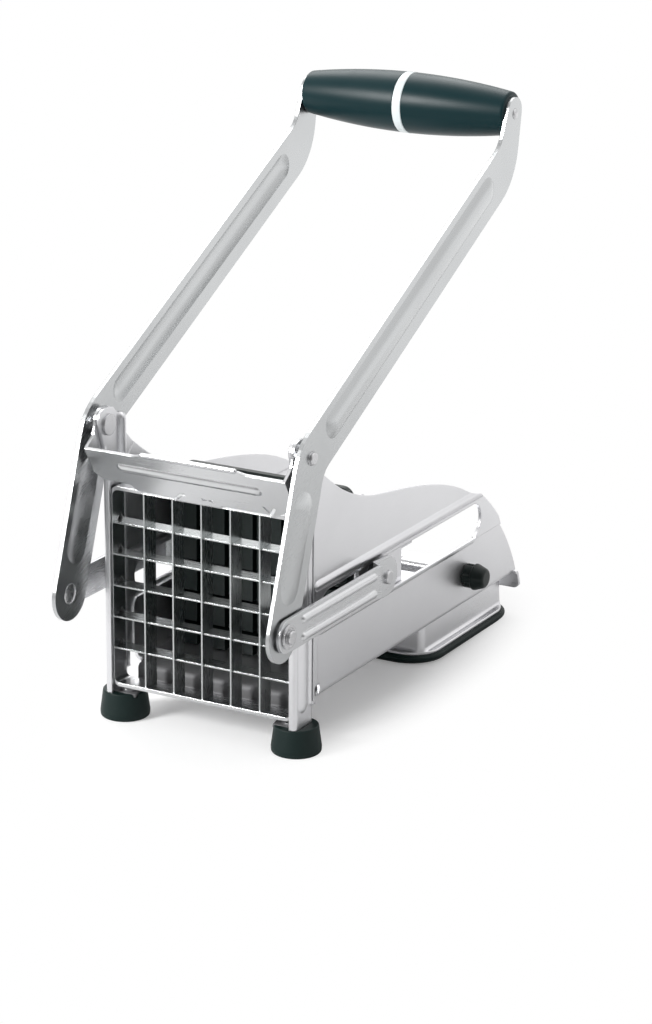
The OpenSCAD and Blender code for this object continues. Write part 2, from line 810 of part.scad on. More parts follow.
module pusher_face() {
    color(black) stand() difference() {
        union() {
            along_y(face_y, plate_y) polygon(rounded([
                [-face_x, face_z[0], 1], [face_x, face_z[0], 1],
                [face_x, face_z[1], face_r], [-face_x, face_z[1], face_r]]));
            for (x = cell_places(columns), z = cell_places(rows)) pusher_tooth(x, grid_z + z);
        }
        pin_holes_y(plate_y - 2);
    }
}

// One tooth, cut off above the floor and below the top of the face
module pusher_tooth(x, z) {
    low = max(z - tooth_w / 2, face_z[0]);
    high = min(z + tooth_w / 2, face_z[1]);
    translate([x - tooth_w / 2, face_y - tooth_l, low])
        cube([tooth_w, tooth_l + face_t / 2, high - low]);
}

module pin_holes_y(y0) {
    for (p = face_pins) translate([p.x, y0, p.y]) rotate([-90, 0, 0])
        cylinder(r = face_pin_r + pin_fit, h = 2 * through);
}

module pusher_frame() {
    color(polished) stand() difference() {
        intersection() {
            along_z(0, through) polygon(bent([
                [-flange_x, flange_y, 0], [-flange_x, plate_y, 0.8],
                [flange_x, plate_y, 0.8], [flange_x, flange_y, 0]], sheet_t));
            along_x(-through, through) polygon(rounded([
                [plate_y, frame_z[0], 0], [axle.x - 1, frame_z[0], 3],
                [axle.x + 7.5, flange_z[0] - 1.5, 3], [flange_y, flange_z[0], 3],
                [flange_y, flange_z[1], 5], [axle.x + 5, frame_z[1] - 10, 8],
                [plate_y + 4, frame_z[1], 4], [plate_y, frame_z[1], 0]]));
        }
        pin_x(axle, axle_r + pin_fit, -through, through);
        pin_holes_y(plate_y - 1);
    }
}

module pusher_axle() {
    color(steel) stand() pin_x(axle, axle_r, -axle_x, axle_x);
}

module slide_bushes() {
    color("dimgray") stand() both_sides() difference() {
        pin_x(axle, bush_r, flange_x, bush_x);
        pin_x(axle, axle_r + pin_fit, 0, through);
    }
}

module face_rivets() {
    color(steel) stand() for (p = face_pins)
        translate([p.x, plate_y + sheet_t, p.y]) rotate([-90, 0, 0]) {
            dome(face_pin_r + 1.5, head_t);
            translate([0, 0, -sheet_t - 1.9]) cylinder(r = face_pin_r, h = sheet_t + 1.9);
        }
}

// ---- Lever ----

crank_f = pivot + crank_front * side(crank_a);
crank_b = pivot - crank_rear * side(crank_a);
arm_f = pivot + arm_front * side(arm_a);
arm_b = pivot - arm_rear * side(arm_a);
arm_top = grip + [0, 0.6];
top_f = arm_top + top_r * side(top_front_a);
top_b = arm_top - top_r * side(top_rear_a);

function with_r(p, r) = [p.x, p.y, r];

// Outline of an arm: round joint end, knee at the pivot, long part, bend and round top
module arm_outline() {
    polygon(rounded([
        with_r(crank + crank_front * side(crank_a), 0),
        with_r(meet(crank_f, crank_a, arm_f, arm_a), 20),
        with_r(meet(arm_f, arm_a, top_f, top_front_a), 12),
        with_r(top_f, 0),
        with_r(top_b, 0),
        with_r(meet(arm_b, arm_a, top_b, top_rear_a), 25),
        with_r(meet(crank_b, crank_a, arm_b, arm_a), 10),
        with_r(crank - crank_rear * side(crank_a), 0)]));
    translate(crank + (crank_front - crank_rear) / 2 * side(crank_a))
        circle((crank_front + crank_rear) / 2);
    translate(arm_top) circle(top_r);
}

// Ends of the two beads of an arm
arm_run = [pivot + 17.6 * dir(arm_a) + 0.9 * side(arm_a),
           pivot + 149.1 * dir(arm_a) + 0.5 * side(arm_a)];
crank_run = [crank + 16.8 * dir(crank_a) + 0.8 * side(crank_a),
             crank + 44.1 * dir(crank_a) + 0.2 * side(crank_a)];

module arm() {
    color(polished) stand() at_x(arm_out) difference() {
        union() {
            translate([0, 0, -arm_t]) linear_extrude(arm_t) arm_outline();
            bead(arm_run[0], arm_run[1], arm_bead, arm_t);
            bead(crank_run[0], crank_run[1], crank_bead, arm_t);
        }
        bead_core(arm_run[0], arm_run[1], arm_bead, arm_t);
        bead_core(crank_run[0], crank_run[1], crank_bead, arm_t);
        for (bore = [[pivot, rivet_r], [crank, rivet_r], [grip, tenon_r]])
            translate([bore[0].x, bore[0].y, -through / 2])
                cylinder(r = bore[1] + pin_fit, h = through);
    }
}

module left_arm() { mirror([1, 0, 0]) arm(); }
module right_arm() { arm(); }

// Barrel of the grip between X = x0 and x1, with the rod's bore
module barrel(x0, x1, grow) {
    sag = (grip_d - grip_end_d) / 2;
    bow = (arm_x * arm_x + sag * sag) / (2 * sag);
    translate([0, grip.x, grip.y]) rotate([0, 90, 0]) rotate_extrude() intersection() {
        translate([grip_d / 2 + grow - bow, 0]) circle(bow, $fn = 720);
        translate([rod_r + pin_fit, x0]) square([grip_d, x1 - x0]);
    }
}

module grip_right() { color(slate) stand() barrel(ring_w / 2, arm_x, 0); }
module grip_left() { color(slate) stand() mirror([1, 0, 0]) barrel(ring_w / 2, arm_x, 0); }
module grip_ring() { color("white") stand() barrel(-ring_w / 2, ring_w / 2, 0.1); }

module grip_rod() {
    color(steel) stand() {
        pin_x(grip, rod_r, -arm_x, arm_x);
        pin_x(grip, tenon_r, -arm_out, arm_out);
        both_sides() dome_x(grip, 2.1, head_t, arm_out);
    }
}

module link_pins() {
    color(steel) stand() both_sides() {
        pin_x(crank, rivet_r, arm_x, link_out + 2 * play + washer_t);
        button_x(crank, rivet_r - 0.1, button_h, link_out + 2 * play + washer_t);
        translate([2 * arm_x, 0, 0]) mirror([1, 0, 0])
            dome_x(crank, rivet_r + 1.4, head_t, arm_x);
    }
}

// Washers on both faces of each link's front end
module link_washers() {
    color(polished) stand() both_sides()
        for (x = [arm_out, link_out + 2 * play]) difference() {
            pin_x(crank, washer_r, x, x + washer_t - play);
            pin_x(crank, rivet_r + pin_fit, x - 1, x + 1);
            pin_x(crank, washer_r - 1, max(x, link_out) + 0.4, through);
        }
}

// ---- Links ----

link_front_r = 6.1;
link_rear_r = 7;
joggle_y = [axle.x - 13, axle.x - 10];
rib_y = [crank.x + 11.1, axle.x - 18.4];
rib_z = [for (up = [6, -0.45]) slot_z + up];

// Outline of a link: a level bar with a round end at the front and a lobe at the rear
module link_outline() {
    polygon(rounded([
        [crank.x - link_front_r, crank.y - link_front_r, link_front_r - 0.1],
        [joggle_y[0] - 2, crank.y - link_front_r, 8],
        [axle.x - 4, axle.y - link_rear_r, 5],
        [axle.x + link_rear_r, axle.y - link_rear_r, link_rear_r - 0.1],
        [axle.x + link_rear_r, axle.y + link_rear_r + 0.6, link_rear_r - 0.1],
        [joggle_y[0] - 2, crank.y + link_front_r, 8],
        [crank.x - link_front_r, crank.y + link_front_r, link_front_r - 0.1]]));
}

// Link whose rear end is set in towards the body by a joggle
module link() {
    color(polished) stand() difference() {
        intersection() {
            union() {
                along_z(0, through) polygon(swapped(bent([
                    [crank.x - 12, link_x, 0], [joggle_y[0], link_x, 0.8],
                    [joggle_y[1], link_rear_x, 0.8], [axle.x + 12, link_rear_x, 0]],
                    link_t)));
                for (z = rib_z) at_x(link_out) bead([rib_y[0], z], [rib_y[1], z], link_rib, link_t);
            }
            along_x(0, through) link_outline();
        }
        for (z = rib_z) at_x(link_out)
            bead_core([rib_y[0], z], [rib_y[1], z], link_rib, link_t);
        pin_x(crank, rivet_r + pin_fit, 0, through);
        pin_x(axle, rivet_r + pin_fit, 0, through);
    }
}

module link_rivet() {
    color(steel) stand() {
        pin_x(axle, rivet_r, link_rear_x, link_rear_x + link_t);
        button_x(axle, rivet_r + 0.1, button_h, link_rear_x + link_t);
    }
}

module left_link() { mirror([1, 0, 0]) link(); }
module right_link() { link(); }
module left_link_rivet() { mirror([1, 0, 0]) link_rivet(); }
module right_link_rivet() { link_rivet(); }

// ---- Cam knob and pad lift ----

knob_x = lower_x + gap;
knob_bore = 5;

// Knob with a domed cap above six flutes
module knob() {
    color(black) stand() translate([knob_x, knob_at.x, knob_at.y]) rotate([0, 90, 0])
        difference() {
            rotate_extrude() polygon(rounded([
                [0, 0, 0], [knob_r, 0, 0.3], [knob_r, knob_l - 0.6, 2], [0, knob_l, 0]]));
            for (a = [0 : 60 : 300]) rotate([0, 0, a]) translate([knob_r + 3, 0, -1])
                cylinder(r = 3.8, h = flute_l + 1);
            translate([0, 0, -1]) cylinder(r = shaft_r + pin_fit, h = knob_bore + 1);
        }
}

module cam_shaft() {
    color(steel) stand() pin_x(knob_at, shaft_r, -lower_x, knob_x + knob_bore - play);
}

// Two snail discs beside the stem, which grow evenly over the knob's turn
module lift_cam() {
    fall = 50;
    rise = [for (a = [0 : 6 : cam_turn]) (cam_r + pad_lift * a / cam_turn) * dir(90 - a)];
    back = [for (a = [10 : 10 : fall])
        (cam_r + pad_lift * (1 - a / fall)) * dir(90 - cam_turn - a)];
    rest = [for (a = [cam_turn + fall + 10 : 10 : 350]) cam_r * dir(90 - a)];
    color(steel) stand() both_sides() along_x(cam_x[0], cam_x[1]) translate(knob_at)
        difference() {
            polygon(concat(rise, back, rest));
            circle(shaft_r + pin_fit);
        }
}

module shaft_clips() {
    wall = lower_x - sheet_t;
    color(steel) stand() both_sides() difference() {
        pin_x(knob_at, shaft_r + 1.6, wall - play - head_t, wall - play);
        pin_x(knob_at, shaft_r + pin_fit, wall - 3, wall + 1);
    }
}

module lift_yoke() {
    color(steel) stand() along_z(yoke_z, yoke_z + yoke_t) difference() {
        polygon(rounded(box_corners([-9, knob_at.x - 5.5], [9, pad_y + 6], 2)));
        translate([0, pad_y]) circle(stem_r + pin_fit);
    }
}

module lift_stem() {
    color(steel) stand() translate([0, pad_y, disc_z]) {
        cylinder(r = disc_r, h = disc_t);
        cylinder(r = stem_r, h = yoke_z + yoke_t + nut_t + 1 - disc_z);
    }
}

module stem_nut() {
    color(steel) stand() translate([0, pad_y, yoke_z + yoke_t]) difference() {
        cylinder(r = 4.6, h = nut_t, $fn = 6);
        translate([0, 0, -1]) cylinder(r = stem_r + pin_fit, h = nut_t + 2);
    }
}

// Coil spring between the stem's disc and the housing's roof
module pad_spring() {
    turns = 4;
    steps = 14;
    sides = 6;
    z0 = disc_z + disc_t + wire_r + gap / 2;
    z1 = floor_z - sheet_t - wire_r - gap / 2;
    count = turns * steps;
    points = [for (i = [0 : count], k = [0 : sides - 1])
        let (a = 360 * i / steps, b = 360 * k / sides, r = spring_r + wire_r * cos(b))
        [r * cos(a), r * sin(a), z0 + (z1 - z0) * i / count + wire_r * sin(b)]];
    skin = [for (i = [0 : count - 1], k = [0 : sides - 1])
        let (m = (k + 1) % sides, p = i * sides)
        [p + k, p + sides + k, p + sides + m, p + m]];
    ends = [[for (k = [0 : sides - 1]) k],
            [for (k = [sides - 1 : -1 : 0]) count * sides + k]];
    color(steel) stand() translate([0, pad_y, 0]) polyhedron(points, concat(skin, ends));
}

body_shell();
front_bar();
pivot_rivets();
pivot_spacers();
front_feet();
foot_rivets();
suction_housing();
suction_pad();
housing_rivets();
insert_frame();
vertical_blades();
horizontal_blades();
pusher_face();
pusher_frame();
pusher_axle();
slide_bushes();
face_rivets();
left_arm();
right_arm();
grip_left();
grip_right();
grip_ring();
grip_rod();
link_pins();
link_washers();
left_link();
left_link_rivet();
right_link();
right_link_rivet();
knob();
cam_shaft();
lift_cam();
shaft_clips();
lift_yoke();
lift_stem();
stem_nut();
pad_spring();
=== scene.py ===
"""Finishes, moulded pieces and studio of a lever-driven french fry cutter.

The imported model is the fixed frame. Each operator dresses one group of pieces: it gives the
frame's own solids a procedural finish, or replaces a solid with a surface worked out here.
Sizes are in metres. +X is the knob's side, +Y the back and +Z up.
"""

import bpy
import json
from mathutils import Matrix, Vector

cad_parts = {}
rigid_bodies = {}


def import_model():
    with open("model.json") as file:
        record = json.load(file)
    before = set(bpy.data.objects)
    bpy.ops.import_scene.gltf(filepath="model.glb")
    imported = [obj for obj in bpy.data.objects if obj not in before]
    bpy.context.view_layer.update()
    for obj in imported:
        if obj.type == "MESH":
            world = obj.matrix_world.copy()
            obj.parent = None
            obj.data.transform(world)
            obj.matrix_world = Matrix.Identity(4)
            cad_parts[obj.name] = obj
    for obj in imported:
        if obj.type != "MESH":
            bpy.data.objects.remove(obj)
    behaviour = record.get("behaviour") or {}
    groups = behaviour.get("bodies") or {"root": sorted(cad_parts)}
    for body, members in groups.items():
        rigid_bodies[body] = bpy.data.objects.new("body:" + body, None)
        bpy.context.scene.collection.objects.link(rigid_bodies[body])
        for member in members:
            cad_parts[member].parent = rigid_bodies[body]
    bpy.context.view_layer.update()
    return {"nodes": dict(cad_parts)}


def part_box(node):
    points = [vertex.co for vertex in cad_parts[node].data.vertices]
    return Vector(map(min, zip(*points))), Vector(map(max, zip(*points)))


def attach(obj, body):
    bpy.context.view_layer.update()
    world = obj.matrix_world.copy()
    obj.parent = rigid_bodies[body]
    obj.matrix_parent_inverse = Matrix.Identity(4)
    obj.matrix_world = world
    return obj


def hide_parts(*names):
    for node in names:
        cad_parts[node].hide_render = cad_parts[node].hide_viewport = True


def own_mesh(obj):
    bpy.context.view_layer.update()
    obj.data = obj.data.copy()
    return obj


bl_info = {
    "name": "French Fry Cutter",
    "version": (1, 0, 0),
    "blender": (4, 5, 0),
    "location": "View3D > Sidebar > Fry Cutter",
    "description": "Finishes and moulded pieces of a lever-driven french fry cutter",
    "category": "Object",
}

import json
import math

import bpy
import numpy as np
from bpy.props import FloatProperty, FloatVectorProperty, IntProperty, PointerProperty
from mathutils import Matrix, Vector

# The start-up scene's own objects give way to the frame
for leftover in list(bpy.data.objects):
    bpy.data.objects.remove(leftover)
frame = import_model()


def span(node):
    """Lowest corner, highest corner and centre of a node of the frame, as arrays."""
    low, high = (np.array(corner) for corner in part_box(node))
    return low, high, (low + high) / 2


# ---- Settings ----

def tone(name, description, value):
    """Colour property with the usual limits."""
    return FloatVectorProperty(name=name, description=description, default=value, size=3,
                               subtype="COLOR", min=0, max=1)


def share(name, description, value, high=1.0):
    """Plain number between 0 and high."""
    return FloatProperty(name=name, description=description, default=value, min=0, max=high,
                         subtype="FACTOR")


def length(name, description, value, low=0.0, high=1.0):
    """Length in metres."""
    return FloatProperty(name=name, description=description, default=value, min=low, max=high,
                         precision=5, unit="LENGTH")


def angle(name, description, degrees):
    """Angle, given in degrees."""
    return FloatProperty(name=name, description=description, default=math.radians(degrees),
                         subtype="ANGLE")


def point(name, description, value):
    """Point of the frame, in metres."""
    return FloatVectorProperty(name=name, description=description, default=value, size=3,
                               subtype="TRANSLATION", unit="LENGTH")


class SteelSettings(bpy.types.PropertyGroup):
    """Tones and polish of the steel pieces."""
    sheet: tone("Sheet", "Tone of the sheet body", (0.72, 0.72, 0.735))
    bright: tone("Bright sheet", "Tone of the front bar, the insert's frame and the links",
                 (0.62, 0.625, 0.635))
    lever: tone("Lever", "Tone of the arms", (0.50, 0.51, 0.515))
    blade: tone("Blades", "Tone of the blades", (0.52, 0.54, 0.54))
    pin: tone("Pins", "Tone of the rivets, pins and bushes", (0.58, 0.58, 0.59))
    sheet_rough: share("Sheet roughness", "Roughness of the satin sheet", 0.36)
    bright_rough: share("Bright roughness", "Roughness of the brighter sheet", 0.24)
    lever_rough: share("Lever roughness", "Roughness of the arms and links", 0.28)
    blade_rough: share("Blade roughness", "Roughness of the ground blades", 0.26)
    pin_rough: share("Pin roughness", "Roughness of the turned pieces", 0.27)
    arm_slope: angle("Arm slope", "Slope of the streaks on the arms", 27.4)
    edge: length("Edge radius", "Radius over which a sheet's edge catches the light", 0.0003,
                 0, 0.002)
    blade_edge: length("Blade edge", "Radius over which a blade's edge catches the light",
                       0.00015, 0, 0.001)
    grain: length("Grain", "Width of a streak of the satin finish", 0.0006, 0.0002, 0.005)
    # Reach of the painted shade, with rougher steel, on the shelf round the insert
    shelf_shade: length("Film", "How far the dull film on the shelf reaches round the insert", 0.008,
                 0.002, 0.02)


class PlasticSettings(bpy.types.PropertyGroup):
    """Colours and polish of the small mouldings."""
    black: tone("Black", "Colour of the knob and the pusher's face", (0.004, 0.010, 0.009))
    bush: tone("Bush", "Colour of the slide bushes", (0.09, 0.095, 0.10))
    face_rough: share("Face roughness", "Roughness of the pusher's face", 0.42)
    bush_rough: share("Bush roughness", "Roughness of the slide bushes", 0.35)
    knob_rough: share("Knob roughness", "Roughness of the cam knob", 0.30)


class GripSettings(bpy.types.PropertyGroup):
    """Shape and finish of the grip."""
    colour: tone("Colour", "Colour of the grip halves", (0.002, 0.021, 0.025))
    ring: tone("Ring", "Colour of the ring between the halves", (0.70, 0.76, 0.77))
    rough: share("Roughness", "Roughness of the grip halves", 0.36)
    ring_rough: share("Ring roughness", "Roughness of the ring", 0.22)
    end: length("End radius", "Radius of the grip at the arms", 0.0081, 0.004, 0.012)
    edge: length("Edge radius", "Rounding of the ends", 0.0009, 0.0002, 0.003)
    rise: length("Ring rise", "How far the ring stands above the halves", 0.0001, 0, 0.001)
    ring_edge: length("Ring edge", "Rounding of the ring's edges", 0.0005, 0.0001, 0.001)
    bore: length("Bore", "Radius of the bore around the rod", 0.00305, 0.002, 0.005)


class KnobSettings(bpy.types.PropertyGroup):
    """Shape of the cam knob."""
    flutes: IntProperty(name="Flutes", description="Number of flutes", default=6, min=3, max=12)
    depth: length("Flute depth", "Depth of a flute in the neck", 0.0008, 0, 0.003)
    neck: length("Neck radius", "Radius of the neck beside the wall", 0.0047, 0.003, 0.006)
    rim: length("Rim radius", "Radius of the cap's rim", 0.0052, 0.004, 0.0056)
    band: length("Rim height", "Height of the straight band at the rim", 0.0007, 0, 0.003)
    tip: length("Tip radius", "Radius of the cap's end", 0.0036, 0.002, 0.005)
    part: share("Neck", "Share of the knob's length that is its neck", 0.42)
    dome: length("Dome", "Rounding of the cap's end", 0.0014, 0.0003, 0.003)
    bend: length("Bend", "Rounding where the neck meets the cap", 0.0003, 0.0001, 0.001)


class FootSettings(bpy.types.PropertyGroup):
    """Shape and finish of the suction foot and the front feet."""
    rubber: tone("Rubber", "Colour of the rubber", (0.006, 0.015, 0.014))
    foot_rough: share("Foot roughness", "Roughness of the front feet", 0.50)
    pad_rough: share("Pad roughness", "Roughness of the suction pad", 0.46)
    cup_rough: share("Cup roughness", "Roughness of the drawn cup", 0.28)
    corner: length("Cup corner", "Corner radius of the drawn cup", 0.003, 0.001, 0.015)
    rim_corner: length("Rim corner", "Corner radius of the rim", 0.014, 0.005, 0.02)
    sheet: length("Sheet", "Thickness of the cup's sheet", 0.0012, 0.0005, 0.002)
    roof_edge: length("Roof edge", "Rounding of the cup's roof edge", 0.0016, 0.0005, 0.004)
    flare: length("Flare", "Fillet between the cup's side and its rim", 0.0016, 0.0005, 0.004)
    draft: length("Draft", "How much the cup's side leans in by its roof", 0.0004, 0, 0.002)
    cup: length("Cup width", "Width of the cup below its roof", 0.0688, 0.05, 0.08)
    hole: length("Stem hole", "Radius of the hole for the stem", 0.0035, 0.002, 0.006)
    pocket: length("Pocket", "Radius of the disc's pocket in the pad", 0.0118, 0.005, 0.02)
    web: length("Web", "Height of the pocket's floor", 0.0016, 0.0005, 0.004)
    hollow: length("Hollow", "How far the pad's underside is hollowed", 0.0005, 0, 0.002)
    lip: length("Lip", "Width of the pad's lip outside the cup's rim", 0.0016, 0, 0.004)
    wire: length("Wire", "Radius of the spring's wire", 0.0007, 0.0003, 0.002)
    turns: IntProperty(name="Turns", description="Turns of the spring", default=4, min=2, max=9)
    lift: length("Lift", "How far the disc rises and shortens the spring", 0.003, 0.001, 0.006)


class StageSettings(bpy.types.PropertyGroup):
    """Floor, light and camera."""
    floor: tone("Floor", "Colour of the floor", (0.93, 0.93, 0.93))
    glow: share("Floor glow", "How much of the white backdrop shows through the floor", 0.18)
    side: length("Floor size", "Half the side of the floor", 6.0, 1.0, 20.0)
    reach: FloatVectorProperty(name="Shaded floor", default=(0.066, 0.16), size=2,
                               description="Half axes of the floor's shaded oval",
                               unit="LENGTH", subtype="XYZ")
    middle: length("Shade's middle", "Where along Y the oval has its centre", -0.06, -1.0)
    near: share("Shade's start", "Share of the oval at which the white begins", 0.5)
    far: share("Shade's end", "Share of the oval at which the floor is plain white", 1.0, 2.0)
    backdrop: share("Backdrop", "Brightness of the floor's far part in reflections", 1.3, 2.0)
    room: share("Room light", "Strength of the light from all sides", 0.42, 2.0)
    zenith: share("Ceiling", "Brightness of the ceiling in reflections", 1.5, 2.0)
    hall: share("Hall", "Brightness of the room before the object in reflections", 0.28)
    back: FloatProperty(name="Back light", description="Power of the box above and behind",
                        default=10.0, min=0, max=100, unit="POWER")
    back_at: point("Back light's place", "Where the box above and behind hangs",
                   (-0.65, 0.78, 1.22))
    back_side: length("Back light's side", "Side of the box above and behind", 1.0, 0.1, 5.0)
    front: FloatProperty(name="Front light", description="Power of the low box on the left",
                         default=23.0, min=0, max=100, unit="POWER")
    front_at: point("Front light's place", "Where the low box on the left stands",
                    (-0.70, -1.22, 0.74))
    front_side: length("Front light's side", "Side of the low box on the left", 0.5, 0.1, 5.0)
    aim: point("Aim", "Point that both lights face", (0, -0.05, 0.08))
    lens: FloatProperty(name="Lens", description="Focal length of the camera in millimetres",
                        default=116.73, min=10, max=400)
    turn: angle("Camera turn", "Turn of the camera to the knob's side", 29.119)
    tilt: angle("Camera tilt", "How far the camera looks down", 17.803)
    roll: angle("Camera roll", "Roll of the camera", 0.36)
    place: point("Camera place", "Where the camera stands", (0.5831, -1.0959, 0.4449))


# ---- Surfaces ----

def soften(corners, arc=9):
    """Closed outline from corners (a, b, radius).

    Each corner p becomes the arc of its radius that touches both sides. With unit vectors u
    and v towards the neighbours and half the angle h between them, the arc's centre is
    p + (u + v) / |u + v| * r / sin h, and it is swept from foot to foot in equal turns.
    """
    raw = np.array(corners, float)
    points, radii = raw[:, :2], raw[:, 2]
    path = []
    for before, here, after, radius in zip(np.roll(points, 1, 0), points,
                                           np.roll(points, -1, 0), radii):
        if radius <= 0:
            path.append(here[None])
            continue
        u = (before - here) / np.linalg.norm(before - here)
        v = (after - here) / np.linalg.norm(after - here)
        half = math.acos(np.clip(u @ v, -1, 1)) / 2
        centre = here + (u + v) / np.linalg.norm(u + v) * radius / math.sin(half)
        foot = here + u * radius / math.tan(half) - centre
        turn = math.pi - 2 * half
        if u[0] * v[1] - u[1] * v[0] > 0:
            turn = -turn
        t = np.linspace(0, turn, arc)[:, None]
        path.append(centre + foot * np.cos(t) + np.array([-foot[1], foot[0]]) * np.sin(t))
    return np.vstack(path)


def turned(profile, centre, count=96, gain=1.0):
    """Profile of points (x, r) carried round the X axis.

    At turn t the point is (cx + x, cy + r sin t, cz + r cos t). The gain multiplies r, and
    can be a grid of points by turns.
    """
    t = np.linspace(0, 2 * math.pi, count, endpoint=False)
    x, r = profile[:, :1], profile[:, 1:2] * gain
    return np.stack([centre[0] + x + 0 * t, centre[1] + r * np.sin(t),
                     centre[2] + r * np.cos(t)], -1)


def squared(rows, centre, arc=14):
    """Rows (width, corner radius, height) carried round a square with rounded corners.

    In quadrant (sx, sy) the point at angle t is (sx (w/2 - r) + r cos t,
    sy (w/2 - r) + r sin t, z), so a row whose width is twice its radius is a circle.
    """
    w, r, z = (np.array(rows, float)[:, k, None] for k in range(3))
    t = (np.linspace(0, math.pi / 2, arc)[None] + np.arange(4)[:, None] * math.pi / 2).ravel()
    sx = np.repeat([1, -1, -1, 1], arc)
    sy = np.repeat([1, 1, -1, -1], arc)
    return np.stack([centre[0] + sx * (w / 2 - r) + r * np.cos(t),
                     centre[1] + sy * (w / 2 - r) + r * np.sin(t), z + 0 * t], -1)


SHARP = math.radians(38)  # an edge bent by more stays sharp


def solid(name, grid, first=None, last=None):
    """Closed mesh of a grid of points, rows by columns by 3.

    Columns join end to start. Rows do too, unless first and last are given, which are then
    the poles that close the ends. If the volume summed over the faces, a . (b x c) / 6 for
    each triangle, comes out negative, all faces are turned round.
    """
    rows, columns = grid.shape[:2]
    points = grid.reshape(-1, 3)
    ring = first is None
    row = np.arange(rows if ring else rows - 1)[:, None] * columns
    onward = (row + columns) % (rows * columns)
    column = np.arange(columns)
    beside = (column + 1) % columns
    quads = np.stack([row + column, row + beside, onward + beside, onward + column], -1)
    quads = quads.reshape(-1, 4)
    fans = np.zeros((0, 3), int)
    if not ring:
        pole = np.full(columns, len(points))
        points = np.vstack([points, first, last])
        end = (rows - 1) * columns
        fans = np.vstack([np.stack([pole, beside, column], -1),
                          np.stack([pole + 1, end + column, end + beside], -1)])
    triangles = np.vstack([quads[:, :3], quads[:, [0, 2, 3]], fans])
    a, b, c = (points[triangles[:, n]] for n in range(3))
    if np.einsum("ij,ij->", a, np.cross(b, c)) < 0:
        quads, fans = quads[:, ::-1], fans[:, ::-1]
    corners = np.concatenate([quads.ravel(), fans.ravel()]).astype(np.int32)
    starts = np.concatenate([np.arange(len(quads)) * 4,
                             len(quads) * 4 + np.arange(len(fans)) * 3]).astype(np.int32)
    mesh = bpy.data.meshes.new(name)
    mesh.vertices.add(len(points))
    mesh.vertices.foreach_set("co", points.astype(np.float32).ravel())
    mesh.loops.add(len(corners))
    mesh.loops.foreach_set("vertex_index", corners)
    mesh.polygons.add(len(starts))
    mesh.polygons.foreach_set("loop_start", starts)
    mesh.update(calc_edges=True)
    mesh.polygons.foreach_set("use_smooth", np.ones(len(starts), bool))
    mesh.set_sharp_from_angle(angle=SHARP)
    mesh.validate()
    piece = bpy.data.objects.new(name, mesh)
    bpy.context.scene.collection.objects.link(piece)
    return piece


def fit(piece, body, material, node):
    """Gives a new piece its finish, its body and the node that it stands for."""
    piece.data.materials.append(material)
    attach(piece, body)
    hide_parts(node)


# ---- Shader building ----

def feed(tree, node, values):
    """Gives a node's inputs their values. A value is a plain one, or a socket to link."""
    for key, value in values.items():
        if isinstance(value, bpy.types.NodeSocket):
            tree.links.new(value, node.inputs[key])
        else:
            node.inputs[key].default_value = value


def place(tree, kind, values=None, **settings):
    """New node, set up and fed."""
    made = tree.nodes.new(kind)
    for key, value in settings.items():
        setattr(made, key, value)
    feed(tree, made, values or {})
    return made


def maths(tree, operation, *values):
    """Result of a Math node."""
    return place(tree, "ShaderNodeMath", dict(enumerate(values)),
                 operation=operation).outputs[0]


def between(tree, value, low, high, to_low=0.0, to_high=1.0):
    """Value mapped smoothly from low..high to to_low..to_high."""
    return place(tree, "ShaderNodeMapRange", {"Value": value, "From Min": low, "From Max": high,
                                              "To Min": to_low, "To Max": to_high},
                 interpolation_type="SMOOTHSTEP").outputs["Result"]


# Sockets of a Mix node that blends colours
MIX_FACTOR, MIX_A, MIX_B, MIX_RESULT = 0, 6, 7, 2


def blend(tree, mask, first, second):
    """Colour that goes from first to second with the mask."""
    return place(tree, "ShaderNodeMix", {MIX_FACTOR: mask, MIX_A: first, MIX_B: second},
                 data_type="RGBA", clamp_factor=True).outputs[MIX_RESULT]


def group(name, inputs, outputs, build):
    """Shader group, built once. Sockets are (name, type, default)."""
    tree = bpy.data.node_groups.get(name)
    if tree:
        return tree
    tree = bpy.data.node_groups.new(name, "ShaderNodeTree")
    for label, kind, value in inputs:
        socket = tree.interface.new_socket(name=label, in_out="INPUT", socket_type=kind)
        if value is not None:
            socket.default_value = value
    for label, kind in outputs:
        tree.interface.new_socket(name=label, in_out="OUTPUT", socket_type=kind)
    entry = tree.nodes.new("NodeGroupInput")
    leave = tree.nodes.new("NodeGroupOutput")
    for label, socket in build(tree, entry.outputs).items():
        tree.links.new(socket, leave.inputs[label])
    return tree


def use(tree, made, values):
    """Places a group in a material."""
    return place(tree, "ShaderNodeGroup", values, node_tree=made).outputs


def satin_grain():
    """Fine streaks of a rolled or brushed sheet. Lay stretches the pattern along an axis."""
    def build(tree, given):
        laid = place(tree, "ShaderNodeVectorMath", {0: given["Vector"], 1: given["Lay"]},
                     operation="MULTIPLY").outputs[0]
        coarse = place(tree, "ShaderNodeTexNoise", {"Vector": laid, "Scale": given["Scale"],
                                                    "Detail": 4.0, "Roughness": 0.6}).outputs[0]
        finer = maths(tree, "MULTIPLY", given["Scale"], 3.7)
        fine = place(tree, "ShaderNodeTexNoise", {"Vector": laid, "Scale": finer,
                                                  "Detail": 2.0}).outputs[0]
        both = maths(tree, "ADD", maths(tree, "MULTIPLY", coarse, 0.6),
                     maths(tree, "MULTIPLY", fine, 0.4))
        return {"Mask": between(tree, both, 0.32, 0.68)}
    return group("satin_grain", [("Vector", "NodeSocketVector", None),
                                 ("Lay", "NodeSocketVector", (1, 1, 1)),
                                 ("Scale", "NodeSocketFloat", 900.0)],
                 [("Mask", "NodeSocketFloat")], build)


